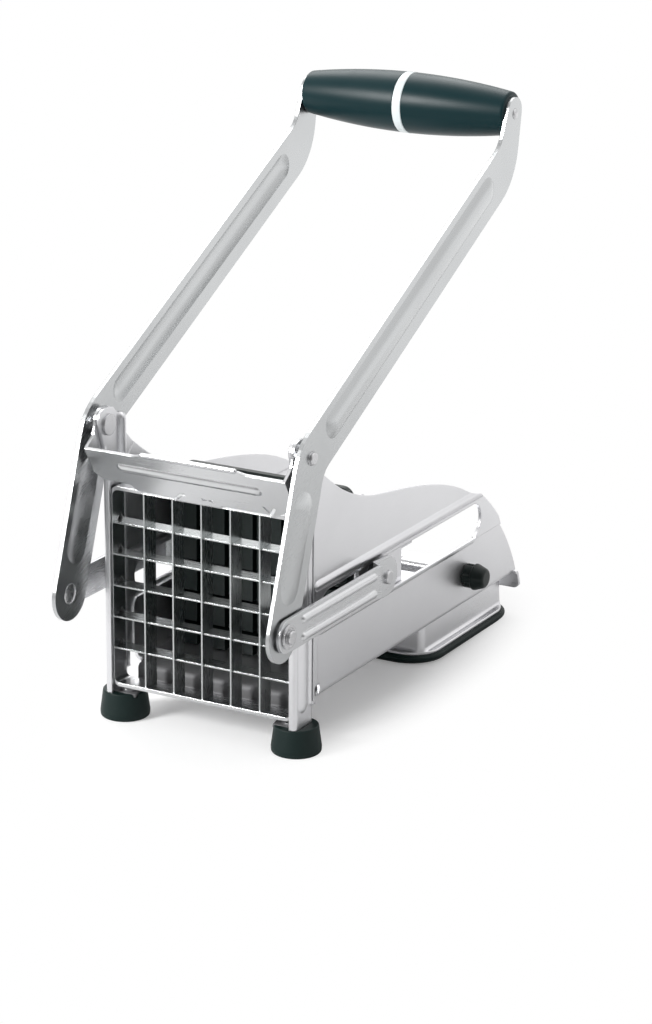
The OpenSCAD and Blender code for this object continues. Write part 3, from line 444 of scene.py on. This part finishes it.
def handling_marks():
    """Large soft clouds with a few finer smears in them, as hands and washing leave."""
    def build(tree, given):
        cloud = place(tree, "ShaderNodeTexNoise", {"Vector": given["Vector"],
                                                   "Scale": given["Scale"], "Detail": 3.0,
                                                   "Distortion": 0.6}).outputs[0]
        finer = maths(tree, "MULTIPLY", given["Scale"], 6.0)
        smear = place(tree, "ShaderNodeTexNoise", {"Vector": given["Vector"], "Scale": finer,
                                                   "Detail": 5.0, "Roughness": 0.65}).outputs[0]
        both = maths(tree, "MULTIPLY", between(tree, cloud, 0.36, 0.66),
                     between(tree, smear, 0.3, 0.72, 0.75, 1.0))
        return {"Mask": both}
    return group("handling_marks", [("Vector", "NodeSocketVector", None),
                                    ("Scale", "NodeSocketFloat", 22.0)],
                 [("Mask", "NodeSocketFloat")], build)


def edges_for_painted_highlight():
    """Edges found where the normal averaged over a radius leaves the surface's own; the mask
    carries a painted highlight.
    """
    def build(tree, given):
        edge_highlight = place(tree, "ShaderNodeBevel", {"Radius": given["Radius"]}, samples=6).outputs[0]
        own = place(tree, "ShaderNodeNewGeometry").outputs["Normal"]
        match = place(tree, "ShaderNodeVectorMath", {0: edge_highlight, 1: own},
                      operation="DOT_PRODUCT").outputs["Value"]
        return {"Mask": between(tree, maths(tree, "SUBTRACT", 1.0, match), 0.01, 0.22),
                "Normal": edge_highlight}
    return group("edges_for_painted_highlight", [("Radius", "NodeSocketFloat", 0.0003)],
                 [("Mask", "NodeSocketFloat"), ("Normal", "NodeSocketVector")], build)


def shade_and_rough_box():
    """Box with soft sides round a centre, where the steel gets painted shade and a rougher
    finish.
    """
    def build(tree, given):
        inside = place(tree, "ShaderNodeVectorMath", {0: given["Vector"], 1: given["Centre"]},
                       operation="SUBTRACT").outputs[0]
        part = place(tree, "ShaderNodeVectorMath", {0: inside, 1: given["Half"]},
                     operation="DIVIDE").outputs[0]
        way = place(tree, "ShaderNodeSeparateXYZ", {"Vector": part}).outputs
        far = [maths(tree, "ABSOLUTE", way[axis]) for axis in "XYZ"]
        most = maths(tree, "MAXIMUM", maths(tree, "MAXIMUM", far[0], far[1]), far[2])
        return {"Mask": between(tree, most, 0.97, 1.03, 1.0, 0.0)}
    return group("shade_and_rough_box", [("Vector", "NodeSocketVector", None),
                                 ("Centre", "NodeSocketVector", (0, 0, 0)),
                                 ("Half", "NodeSocketVector", (1, 1, 1))],
                 [("Mask", "NodeSocketFloat")], build)


def moulded_skin():
    """Fine even stipple of a moulded surface."""
    def build(tree, given):
        cells = place(tree, "ShaderNodeTexVoronoi", {"Vector": given["Vector"],
                                                     "Scale": given["Scale"]},
                      feature="SMOOTH_F1").outputs["Distance"]
        finer = maths(tree, "MULTIPLY", given["Scale"], 1.7)
        noise = place(tree, "ShaderNodeTexNoise", {"Vector": given["Vector"], "Scale": finer,
                                                   "Detail": 2.0}).outputs[0]
        return {"Height": maths(tree, "ADD", maths(tree, "MULTIPLY", cells, 0.5), noise)}
    return group("moulded_skin", [("Vector", "NodeSocketVector", None),
                                  ("Scale", "NodeSocketFloat", 2600.0)],
                 [("Height", "NodeSocketFloat")], build)


def cleared(owner):
    """Emptied node tree of a material or a world."""
    owner.use_nodes = True
    owner.node_tree.nodes.clear()
    return owner.node_tree


def start_material(name):
    """Empty material with its output, Object coordinates and a Principled BSDF."""
    made = bpy.data.materials.new(name)
    tree = cleared(made)
    bsdf = place(tree, "ShaderNodeBsdfPrincipled")
    place(tree, "ShaderNodeOutputMaterial", {"Surface": bsdf.outputs[0]})
    where = place(tree, "ShaderNodeTexCoord").outputs["Object"]
    return made, tree, bsdf, where


def rgba(colour, gain=1.0):
    """Opaque colour, brighter or darker by the gain."""
    return (*(min(1.0, gain * c) for c in colour), 1.0)


# Gain of the steel's colour under each mask. A streak goes from the first to the second,
# and a cloud counts in part.
STREAK_GAINS = 0.985, 1.01
CLOUD_SHARE, CLOUD_GAIN = 0.5, 0.94
# Painted highlight: edges are lightened by this gain where they would catch the light
EDGE_HIGHLIGHT_GAIN = 1.15
# Painted shade: the shelf under the insert is darkened by this gain
SHELF_SHADE_GAIN = 0.35

# What each mask adds to the steel's roughness
STREAK_ROUGH = 0.04
CLOUD_ROUGH = 0.03
RIM_ROUGH = -0.08
SHELF_ROUGH = 0.4

# How dust lightens a plastic, by a fixed amount and by a share of its colour, and roughens it
DUST_LIFT = 0.006
DUST_SHARE = 0.10
DUST_ROUGH = 0.08

# Share and gain of the painted highlight on a plastic's edges
PLASTIC_HIGHLIGHT_SHARE, PLASTIC_HIGHLIGHT_GAIN = 0.3, 1.3

# Height of the relief of a streak and of a moulded surface's stipple, in metres
STREAK_RELIEF = 0.000012
STIPPLE_RELIEF = 0.00003

# Finish that the small turned pieces share, and the one of all rubber
TURNED = {"grain": 1500.0, "depth": 0.05, "marks": 60.0}
RUBBER = {"skin": 1500.0, "gloss": 0.2}


def steel(name, colour, roughness, *, grain, lay=(1, 1, 1), slope=0.0, depth=0.1, marks=22.0,
          edge=0.0003, edge_highlight=0.2, shelf_shade=None):
    """Stainless steel: streaks of grain, soft clouds, and a painted highlight that lightens the
    edges.

    Grain is the number of streaks in a metre, and a small share in lay makes them long along
    that axis. They climb towards the back by the slope's angle, and depth is the strength of
    their relief. Marks is the number of clouds in a metre, and edge_highlight says how much
    the painted highlight lightens the edges. A shelf_shade is the centre and the half size of a
    box in which the steel gets painted shade and a rougher finish.
    """
    made, tree, bsdf, where = start_material(name)
    along = place(tree, "ShaderNodeVectorRotate", {"Vector": where, "Angle": -slope},
                  rotation_type="X_AXIS").outputs[0]
    streak = use(tree, satin_grain(), {"Vector": along, "Lay": lay, "Scale": grain})["Mask"]
    cloud = use(tree, handling_marks(), {"Vector": where, "Scale": marks})["Mask"]
    rim = use(tree, edges_for_painted_highlight(), {"Radius": edge})
    body = blend(tree, streak, *(rgba(colour, gain) for gain in STREAK_GAINS))
    # The edge mask paints a highlight into the colour
    layers = [(cloud, CLOUD_SHARE, CLOUD_GAIN), (rim["Mask"], edge_highlight, EDGE_HIGHLIGHT_GAIN)]
    roughening = [(streak, STREAK_ROUGH), (cloud, CLOUD_ROUGH), (rim["Mask"], RIM_ROUGH)]
    # Painted shade on the shelf under the insert, with a rougher finish
    if shelf_shade:
        dull_and_shaded = use(tree, shade_and_rough_box(), {"Vector": where, "Centre": shelf_shade[0],
                                         "Half": shelf_shade[1]})["Mask"]
        layers.append((dull_and_shaded, 1.0, SHELF_SHADE_GAIN))
        roughening.append((dull_and_shaded, SHELF_ROUGH))
    for mask, weight, gain in layers:
        body = blend(tree, maths(tree, "MULTIPLY", mask, weight), body, rgba(colour, gain))
    rough = roughness - STREAK_ROUGH / 2
    for mask, weight in roughening:
        rough = maths(tree, "ADD", rough, maths(tree, "MULTIPLY", mask, weight))
    bump = place(tree, "ShaderNodeBump", {"Strength": depth, "Distance": STREAK_RELIEF,
                                          "Height": streak, "Normal": rim["Normal"]})
    feed(tree, bsdf, {"Base Color": body, "Roughness": rough, "Normal": bump.outputs[0],
                      "Metallic": 1.0})
    return made


def plastic(name, colour, roughness, skin=2600.0, depth=0.12, edge=0.0003, dust=0.15,
            marks=30.0, gloss=0.35):
    """Moulded plastic or rubber: a fine stipple, a little dust, and a softer painted highlight on
    the edges.

    Skin is the number of the stipple's cells in a metre, depth the strength of its relief,
    and marks the number of clouds of dust in a metre.
    """
    made, tree, bsdf, where = start_material(name)
    height = use(tree, moulded_skin(), {"Vector": where, "Scale": skin})["Height"]
    cloud = use(tree, handling_marks(), {"Vector": where, "Scale": marks})["Mask"]
    rim = use(tree, edges_for_painted_highlight(), {"Radius": edge})
    dusty = tuple(c + DUST_LIFT + DUST_SHARE * c for c in colour)
    body = blend(tree, maths(tree, "MULTIPLY", cloud, dust), rgba(colour), rgba(dusty))
    # Painted highlight: the edges get a lighter tone
    body = blend(tree, maths(tree, "MULTIPLY", rim["Mask"], PLASTIC_HIGHLIGHT_SHARE), body,
                 rgba(dusty, PLASTIC_HIGHLIGHT_GAIN))
    rough = maths(tree, "ADD", roughness - DUST_ROUGH / 4,
                  maths(tree, "MULTIPLY", cloud, DUST_ROUGH))
    bump = place(tree, "ShaderNodeBump", {"Strength": depth, "Distance": STIPPLE_RELIEF,
                                          "Height": height, "Normal": rim["Normal"]})
    feed(tree, bsdf, {"Base Color": body, "Roughness": rough, "Normal": bump.outputs[0],
                      "Specular IOR Level": gloss})
    return made


def dress(material, *nodes):
    """Gives solids of the frame their finish."""
    for name in nodes:
        for slot in frame["nodes"][name].material_slots:
            slot.material = material


# ---- Floor and room ----

# Where one tone goes over into the next: on the floor along Y, in metres, and in the room
# along the height and the depth of a ray's direction
HALL_TO_FLOOR = -0.8, -0.15
FLOOR_TO_BACKDROP = 0.0, 0.45
WALL_TO_CEILING = 0.15, 0.85
HALL_TO_BACK_WALL = -0.7, 0.3

WHITE = 1.0, 1.0, 1.0, 1.0


def white_light(tree, strength):
    """Shader that glows white."""
    return place(tree, "ShaderNodeEmission", {"Color": WHITE, "Strength": strength}).outputs[0]


def cross_fade(tree, mask, first, second):
    """Shader that goes from first to second with the mask."""
    return place(tree, "ShaderNodeMixShader", {0: mask, 1: first, 2: second}).outputs[0]


def pale_floor(stage):
    """Matt floor for the rays that carry light.

    The camera sees its shading, with some of the backdrop's white, inside an oval, and plain
    white outside. Reflections see the dim hall before the object, then the matt floor, and
    the bright backdrop behind.
    """
    made = bpy.data.materials.new("pale_floor")
    tree = cleared(made)
    where = place(tree, "ShaderNodeTexCoord").outputs["Object"]
    matt = place(tree, "ShaderNodeBsdfDiffuse", {"Color": rgba(stage.floor)}).outputs[0]
    lit = place(tree, "ShaderNodeAddShader", {0: matt, 1: white_light(tree, stage.glow)})
    oval = place(tree, "ShaderNodeMapping", {"Vector": where, "Location": (0, stage.middle, 0),
                                             "Scale": (*stage.reach, 1)}, vector_type="TEXTURE")
    away = place(tree, "ShaderNodeVectorMath", {0: oval.outputs[0]}, operation="LENGTH")
    shown = cross_fade(tree, between(tree, away.outputs["Value"], stage.near, stage.far),
                       lit.outputs[0], white_light(tree, 1.0))
    depth = place(tree, "ShaderNodeSeparateXYZ", {"Vector": where}).outputs["Y"]
    nearer = cross_fade(tree, between(tree, depth, *HALL_TO_FLOOR),
                        white_light(tree, stage.hall), matt)
    mirrored = cross_fade(tree, between(tree, depth, *FLOOR_TO_BACKDROP), nearer,
                          white_light(tree, stage.backdrop))
    rays = place(tree, "ShaderNodeLightPath").outputs
    unseen = cross_fade(tree, rays["Is Glossy Ray"], matt, mirrored)
    whole = cross_fade(tree, rays["Is Camera Ray"], unseen, shown)
    place(tree, "ShaderNodeOutputMaterial", {"Surface": whole})
    return made


def direct_rays(tree):
    """1 for camera, glossy and transmission rays, 0 for the rays that carry light."""
    path = place(tree, "ShaderNodeLightPath").outputs
    first = maths(tree, "MAXIMUM", path["Is Camera Ray"], path["Is Glossy Ray"])
    return maths(tree, "MAXIMUM", first, path["Is Transmission Ray"])


def room(stage):
    """World with even light from all sides.

    The camera sees white past the floor. Reflections see a hall that is dim before the
    object, and walls that brighten towards the back and the ceiling.
    """
    world = bpy.data.worlds.new("room")
    tree = cleared(world)
    even = place(tree, "ShaderNodeBackground", {"Color": WHITE, "Strength": stage.room})
    way = place(tree, "ShaderNodeSeparateXYZ", {
        "Vector": place(tree, "ShaderNodeTexCoord").outputs["Generated"]}).outputs
    wall = maths(tree, "MULTIPLY", between(tree, way["Z"], *WALL_TO_CEILING, 1.0, stage.zenith),
                 between(tree, way["Y"], *HALL_TO_BACK_WALL, stage.hall, 1.0))
    eye = place(tree, "ShaderNodeLightPath").outputs["Is Camera Ray"]
    seen = place(tree, "ShaderNodeBackground", {
        "Color": WHITE, "Strength": maths(tree, "MAXIMUM", wall, eye)})
    whole = cross_fade(tree, direct_rays(tree), even.outputs[0], seen.outputs[0])
    place(tree, "ShaderNodeOutputWorld", {"Surface": whole})
    return world


# ---- Operators ----

class FRY_OT_body(bpy.types.Operator):
    """Satin finish of the sheet body, rougher and darkened with painted shade on the shelf, and
    of the pusher's frame
    """
    bl_idname = "fry.body"
    bl_label = "Sheet body"

    def execute(self, context):
        look = context.scene.fry_steel
        # The shelf under the insert gets painted shade and a rougher finish
        dress(steel("satin_sheet", look.sheet, look.sheet_rough, grain=1 / look.grain,
                    lay=(1, 0.05, 1), edge=2 * look.edge, shelf_shade=self.shelf(look.shelf_shade)),
              "body_shell")
        dress(steel("pusher_sheet", look.sheet, look.sheet_rough, grain=1 / look.grain,
                    lay=(1, 1, 0.05), edge=look.edge), "pusher_frame")
        return {"FINISHED"}

    @staticmethod
    def shelf(reach):
        """Centre and half size of the painted shade on the shelf under the insert and the step
        behind it.
        """
        low, high, centre = span("insert_frame")
        clear = 0.001  # room beside the side walls
        return ((0, centre[1] + reach, low[2] - reach / 4),
                (high[0] - clear, 2 * reach, reach))


class FRY_OT_front(bpy.types.Operator):
    """Brighter finish of the front bar and the insert's frame"""
    bl_idname = "fry.front"
    bl_label = "Front bar and insert frame"

    def execute(self, context):
        look = context.scene.fry_steel
        for finish, lay, node in (("bright_bar", (0.05, 1, 1), "front_bar"),
                                  ("insert_strip", (0.1, 1, 0.1), "insert_frame")):
            dress(steel(finish, look.bright, look.bright_rough, grain=1 / look.grain, lay=lay,
                        depth=0.06, edge=look.edge), node)
        return {"FINISHED"}


class FRY_OT_blades(bpy.types.Operator):
    """Ground finish of the blades, with a painted highlight on their edges"""
    bl_idname = "fry.blades"
    bl_label = "Blades"

    def execute(self, context):
        look = context.scene.fry_steel
        for finish, lay, node in (("upright_blades", (1, 1, 0.05), "vertical_blades"),
                                  ("level_blades", (0.05, 1, 1), "horizontal_blades")):
            # Strong painted highlight on the blades' edges
            dress(steel(finish, look.blade, look.blade_rough, grain=1 / look.grain, lay=lay,
                        depth=0.03, edge=look.blade_edge, edge_highlight=0.7), node)
        return {"FINISHED"}


class FRY_OT_lever(bpy.types.Operator):
    """Satin finish of the arms and the links"""
    bl_idname = "fry.lever"
    bl_label = "Arms and links"

    def execute(self, context):
        look = context.scene.fry_steel
        dress(steel("arm_strip", look.lever, look.lever_rough, grain=1 / look.grain,
                    lay=(1, 0.04, 1), slope=look.arm_slope, depth=0.04, edge=look.edge),
              "left_arm", "right_arm")
        dress(steel("link_strip", look.bright, look.lever_rough, grain=1 / look.grain,
                    lay=(1, 0.05, 1), depth=0.04, edge=look.edge), "left_link", "right_link")
        return {"FINISHED"}


class FRY_OT_pins(bpy.types.Operator):
    """Turned finish of the rivets, pins, bushes and the cam's pieces"""
    bl_idname = "fry.pins"
    bl_label = "Rivets, pins and cam"

    def execute(self, context):
        look = context.scene.fry_steel
        dress(steel("headed_steel", look.pin, look.pin_rough, **TURNED),
              "pivot_rivets", "pivot_spacers", "foot_rivets", "housing_rivets", "face_rivets",
              "grip_rod", "link_pins", "link_washers", "left_link_rivet", "right_link_rivet",
              "stem_nut", "shaft_clips")
        dress(steel("drawn_steel", look.pin, look.pin_rough, lay=(0.15, 1, 1), **TURNED),
              "pusher_axle", "cam_shaft", "lift_cam", "lift_yoke", "lift_stem", "pad_spring")
        return {"FINISHED"}


class FRY_OT_mouldings(bpy.types.Operator):
    """Black plastic of the pusher's face and the slide bushes"""
    bl_idname = "fry.mouldings"
    bl_label = "Pusher face and bushes"

    def execute(self, context):
        look = context.scene.fry_plastic
        dress(plastic("pusher_plastic", look.black, look.face_rough), "pusher_face")
        dress(plastic("bush_plastic", look.bush, look.bush_rough), "slide_bushes")
        return {"FINISHED"}


class FRY_OT_feet(bpy.types.Operator):
    """Rubber of the two front feet"""
    bl_idname = "fry.feet"
    bl_label = "Front feet"

    def execute(self, context):
        foot = context.scene.fry_foot
        dress(plastic("foot_rubber", foot.rubber, foot.foot_rough, depth=0.2, **RUBBER),
              "front_feet")
        return {"FINISHED"}


class FRY_OT_grip(bpy.types.Operator):
    """Barrel-shaped grip halves and the ring between them"""
    bl_idname = "fry.grip"
    bl_label = "Grip"

    def execute(self, context):
        grip = context.scene.fry_grip
        finish = plastic("grip_satin", grip.colour, grip.rough, skin=3200.0, depth=0.05, dust=0.1,
                         gloss=0.22)
        white = plastic("ring_gloss", grip.ring, grip.ring_rough, depth=0.02, dust=0.1, gloss=0.5)
        low, high, centre = span("grip_right")
        ring_half = span("grip_ring")[1][0]
        middle = (high[2] - low[2]) / 2
        axis = np.array([0.0, centre[1], centre[2]])
        for side, body in ((1, "grip_right"), (-1, "grip_left")):
            grid = turned(self.half(low[0], high[0], middle, grip), axis)
            grid[..., 0] *= side
            fit(solid(body + "_shell", grid), "lever", finish, body)
        grid = turned(self.ring(ring_half, middle, grip), axis)
        fit(solid("grip_ring_shell", grid), "lever", white, "grip_ring")
        return {"FINISHED"}

    @staticmethod
    def half(x0, x1, middle, grip):
        """Closed profile of a half.

        Outside, r = middle - sag (x / x1)^2, less the end's rounding
        e - sqrt(e^2 - (x - (x1 - e))^2) over the last e. It returns along the bore.
        """
        e, sag = grip.edge, middle - grip.end
        x = np.concatenate([np.linspace(x0, x1 - e, 60), x1 - e + e * np.sin(
            np.linspace(0, math.pi / 2, 10))[1:]])
        r = middle - sag * (x / x1) ** 2
        r = r - e + np.sqrt(np.maximum(e * e - np.maximum(x - (x1 - e), 0) ** 2, 0))
        return np.vstack([np.stack([x, r], -1), [[x1, grip.bore], [x0, grip.bore]]])

    @staticmethod
    def ring(half_width, middle, grip):
        """Closed profile of the ring: a rounded band that stands a little above the halves."""
        top = middle + grip.rise
        return soften([(-half_width, grip.bore, 0), (-half_width, top, grip.ring_edge),
                       (half_width, top, grip.ring_edge), (half_width, grip.bore, 0)])


class FRY_OT_knob(bpy.types.Operator):
    """Cam knob: a fluted neck under a conical cap"""
    bl_idname = "fry.knob"
    bl_label = "Cam knob"

    def execute(self, context):
        knob, look = context.scene.fry_knob, context.scene.fry_plastic
        low, high, centre = span("knob")
        tall = high[0] - low[0]
        axis = np.array([low[0], centre[1], centre[2]])
        piece = solid("knob_cap", self.shape(tall, axis, knob), axis, axis + [tall, 0, 0])
        finish = plastic("knob_plastic", look.black, look.knob_rough, depth=0.06, edge=0.0005,
                         gloss=0.25)
        fit(piece, "suction_knob", finish, "knob")
        return {"FINISHED"}

    @staticmethod
    def shape(tall, axis, knob):
        """Turned outline with flutes in its neck.

        The outline runs up the neck, out to the rim, along a cone to the tip and over its
        rounding. The radius at turn t loses depth * max(0, cos(n t))^1.5 along the neck.
        """
        neck = tall * knob.part
        base, brow = 0.0002, 0.0005  # rounding beside the wall and above the band
        rows = 16  # along the neck
        outline = soften([(0, 0, 0), (0, knob.neck, base), (neck, knob.neck, knob.bend),
                          (neck, knob.rim, knob.bend), (neck + knob.band, knob.rim, brow),
                          (tall, knob.tip, knob.dome), (tall, 0, 0)], arc=12)
        outline = outline[outline[:, 1] > 0]
        margin = knob.bend / 6
        side = np.stack([np.linspace(knob.bend, neck - knob.bend - 2 * margin, rows),
                         np.full(rows, knob.neck)], -1)
        outline = np.vstack([outline[outline[:, 0] < knob.bend], side,
                             outline[outline[:, 0] > neck - knob.bend - margin]])
        count = 192
        t = np.linspace(0, 2 * math.pi, count, endpoint=False)
        fluted = outline[:, :1] < neck - knob.bend
        flute = np.maximum(np.cos(knob.flutes * t), 0)[None] ** 1.5
        return turned(outline, axis, count, 1 - knob.depth / knob.neck * flute * fluted)


class FRY_OT_suction_foot(bpy.types.Operator):
    """Drawn cup with its flared rim, and the rubber pad under it"""
    bl_idname = "fry.suction_foot"
    bl_label = "Suction foot"

    def execute(self, context):
        foot, look = context.scene.fry_foot, context.scene.fry_steel
        low, high, centre = span("suction_housing")
        pad_low, pad_high, pad_centre = span("suction_pad")
        cup = solid("suction_cup", squared(self.cup(low, high, foot), centre))
        drawn = steel("drawn_cup", look.sheet, foot.cup_rough, grain=1 / look.grain,
                      depth=0.06, edge=look.edge)
        fit(cup, "body", drawn, "suction_housing")
        rows = self.pad(pad_high[0] - pad_low[0], pad_high[2], foot)
        under = np.array([pad_centre[0], pad_centre[1], 0.0])
        pad = solid("rubber_pad", squared(rows, pad_centre), under, under + [0, 0, foot.web])
        rubber = plastic("pad_rubber", foot.rubber, foot.pad_rough, depth=0.15, **RUBBER)
        fit(pad, "body", rubber, "suction_pad")
        return {"FINISHED"}

    @staticmethod
    def cup(low, high, foot):
        """Closed section of the drawn cup, as half width against height, made rows.

        From the stem's hole the roof runs out to a rounded edge, down the side, through the
        flare onto the rim, round its edge and back inside, one sheet's thickness away. The
        corner radius grows from the cup's to the rim's in step with the half width.
        """
        roof, base, rim, t = high[2], low[2], high[0], foot.sheet
        half = foot.cup / 2
        bend = 0.001  # flare of the inside where it meets the rim's underside
        thin = 0.9  # thickness of the rim's edge, as a share of the sheet's
        blend_in = 0.01  # width over which the roof's rows turn from square to round
        section = soften([
            (foot.hole, roof, 0), (half - foot.draft, roof, foot.roof_edge),
            (half, base + t, foot.flare), (rim - foot.draft / 2, base + t * thin, t / 2),
            (rim, base, t / 6), (half + bend, base, t / 4), (half - t, base + bend, t / 3),
            (half - t - foot.draft, roof - t, 0.0005), (foot.hole, roof - t, 0)])
        width, height = section[:, 0], section[:, 1]
        grow = np.clip((width - half) / (rim - half), 0, 1)
        corner = foot.corner + (foot.rim_corner - foot.lip - foot.corner) * grow
        inner = np.clip((half - t - width) / blend_in, 0, 1)
        corner = np.where(width < half, np.minimum(width, foot.corner + inner * width), corner)
        return np.stack([2 * width, np.minimum(corner, width), height], -1)

    @staticmethod
    def pad(width, top, foot):
        """Rows of the pad.

        The underside slopes down from its hollow to a level tread. The side swells out from
        there and then stands upright, and the top is level up to the disc's pocket.
        """
        w, r = width / 2, foot.rim_corner
        core = 0.002  # half width of the first and last rows, next to the poles
        slope, tread = 0.012, 0.0035  # from the side in to the hollow and to the tread's edge
        swell = 0.45  # share of the height from which the side is upright
        round_off = 0.0005  # how far outside the pocket the rows are still circles
        section = soften([(w - slope, foot.hollow, 0.002), (w - tread, 0.0, 0.002),
                          (w - foot.lip, 0.0, 0.0012), (w, top * swell, 0.0014),
                          (w, top, 0.0011), (foot.pocket, top, 0.0002),
                          (foot.pocket, foot.web, 0.0002)], arc=7)
        section = np.vstack([[[core, foot.hollow]], section, [[core, foot.web]]])
        half, height = section[:, 0], section[:, 1]
        corner = np.where(half < foot.pocket + round_off, half, np.minimum(half, r))
        return np.stack([2 * half, corner, height], -1)


class FRY_OT_spring(bpy.types.Operator):
    """Coil spring of the suction foot"""
    bl_idname = "fry.spring"
    bl_label = "Foot spring"

    def execute(self, context):
        foot, look = context.scene.fry_foot, context.scene.fry_steel
        low, high, centre = span("pad_spring")
        ends = np.array([low[2] + foot.wire, high[2] - foot.wire])
        grid, core = self.coil((high[0] - low[0]) / 2 - foot.wire, ends, centre, foot)
        coil = solid("foot_spring", grid, core[0], core[-1])
        wire = steel("spring_wire", look.pin, look.pin_rough, **TURNED)
        fit(coil, "body", wire, "pad_spring")
        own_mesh(coil)
        return {"FINISHED"}

    @staticmethod
    def coil(radius, ends, centre, foot):
        """Round wire along a helix, and the helix itself.

        At turn t and angle b round the wire the radius is R + w cos b, and the height goes
        evenly from one end to the other, plus w sin b.
        """
        steps, sides = 24, 10  # along a turn and round the wire
        t = np.linspace(0, 2 * math.pi * foot.turns, steps * foot.turns + 1)[:, None]
        b = np.linspace(0, 2 * math.pi, sides, endpoint=False)[None]
        rise = ends[0] + (ends[1] - ends[0]) * t / t.max()

        def at(r, z):
            return np.stack([centre[0] + r * np.cos(t), centre[1] + r * np.sin(t), z], -1)
        grid = at(radius + foot.wire * np.cos(b), rise + foot.wire * np.sin(b))
        return grid, at(radius + 0 * t, rise)[:, 0]


class FRY_OT_stage(bpy.types.Operator):
    """Pale floor, soft light and the camera"""
    bl_idname = "fry.stage"
    bl_label = "Floor, light and camera"

    def execute(self, context):
        stage = context.scene.fry_stage
        self.floor(stage)
        context.scene.world = room(stage)
        self.lamp("back_lamp", stage.back_at, stage.back_side, stage.back, stage.aim)
        self.lamp("front_lamp", stage.front_at, stage.front_side, stage.front, stage.aim)
        self.camera(context.scene, stage)
        context.scene.view_settings.view_transform = "Standard"
        return {"FINISHED"}

    @staticmethod
    def floor(stage):
        """Level square."""
        far = stage.side
        mesh = bpy.data.meshes.new("floor")
        mesh.from_pydata([(-far, -far, 0), (far, -far, 0), (far, far, 0), (-far, far, 0)],
                         [], [(0, 1, 2, 3)])
        mesh.materials.append(pale_floor(stage))
        floor = bpy.data.objects.new("floor", mesh)
        bpy.context.scene.collection.objects.link(floor)

    @staticmethod
    def lamp(name, at, side, power, target):
        """Square area lamp that faces a target."""
        light = bpy.data.lights.new(name, "AREA")
        light.size = side
        light.energy = power
        lamp = bpy.data.objects.new(name, light)
        facing = (target - at).to_track_quat("-Z", "Y").to_matrix().to_4x4()
        lamp.matrix_world = Matrix.Translation(at) @ facing
        bpy.context.scene.collection.objects.link(lamp)

    @staticmethod
    def camera(scene, stage):
        """Camera from its turn, tilt and roll.

        It looks along -back, where back = (sin a cos e, -cos a cos e, sin e), and its
        right and up are turned about back by the roll.
        """
        a, e, r = stage.turn, stage.tilt, stage.roll
        back = Vector((math.sin(a) * math.cos(e), -math.cos(a) * math.cos(e), math.sin(e)))
        right = Vector((math.cos(a), math.sin(a), 0))
        up = back.cross(right)
        turned_right = right * math.cos(r) + up * math.sin(r)
        turned_up = -right * math.sin(r) + up * math.cos(r)
        view = bpy.data.cameras.new("camera")
        view.lens = stage.lens
        view.clip_start = 0.01
        camera = bpy.data.objects.new("camera", view)
        scene.collection.objects.link(camera)
        basis = Matrix((turned_right, turned_up, back)).transposed().to_4x4()
        camera.matrix_world = Matrix.Translation(stage.place) @ basis
        scene.camera = camera


class FRY_PT_panel(bpy.types.Panel):
    """Lists the steps in the sidebar"""
    bl_label = "Fry Cutter"
    bl_idname = "FRY_PT_panel"
    bl_space_type = "VIEW_3D"
    bl_region_type = "UI"
    bl_category = "Fry Cutter"

    def draw(self, context):
        column = self.layout.column(align=True)
        for step in STEPS:
            column.operator(step.bl_idname)
        for name in GROUPS:
            box = self.layout.box()
            settings = getattr(context.scene, name)
            for key in settings.__annotations__:
                box.prop(settings, key)


GROUPS = {"fry_steel": SteelSettings, "fry_plastic": PlasticSettings,
          "fry_grip": GripSettings, "fry_knob": KnobSettings, "fry_foot": FootSettings,
          "fry_stage": StageSettings}
STEPS = (FRY_OT_stage, FRY_OT_body, FRY_OT_front, FRY_OT_blades, FRY_OT_lever, FRY_OT_pins,
         FRY_OT_mouldings, FRY_OT_feet, FRY_OT_grip, FRY_OT_knob, FRY_OT_suction_foot,
         FRY_OT_spring)


def register():
    """Makes the settings, the operators and the panel known to Blender."""
    for kind in (*GROUPS.values(), *STEPS, FRY_PT_panel):
        bpy.utils.register_class(kind)
    for name, kind in GROUPS.items():
        setattr(bpy.types.Scene, name, PointerProperty(type=kind))


def unregister():
    """Takes them out again."""
    for name in GROUPS:
        delattr(bpy.types.Scene, name)
    for kind in reversed((*GROUPS.values(), *STEPS, FRY_PT_panel)):
        bpy.utils.unregister_class(kind)


def main():
    """Runs every step."""
    register()
    for step in STEPS:
        area, name = step.bl_idname.split(".")
        getattr(getattr(bpy.ops, area), name)()


if __name__ == "__main__":
    main()
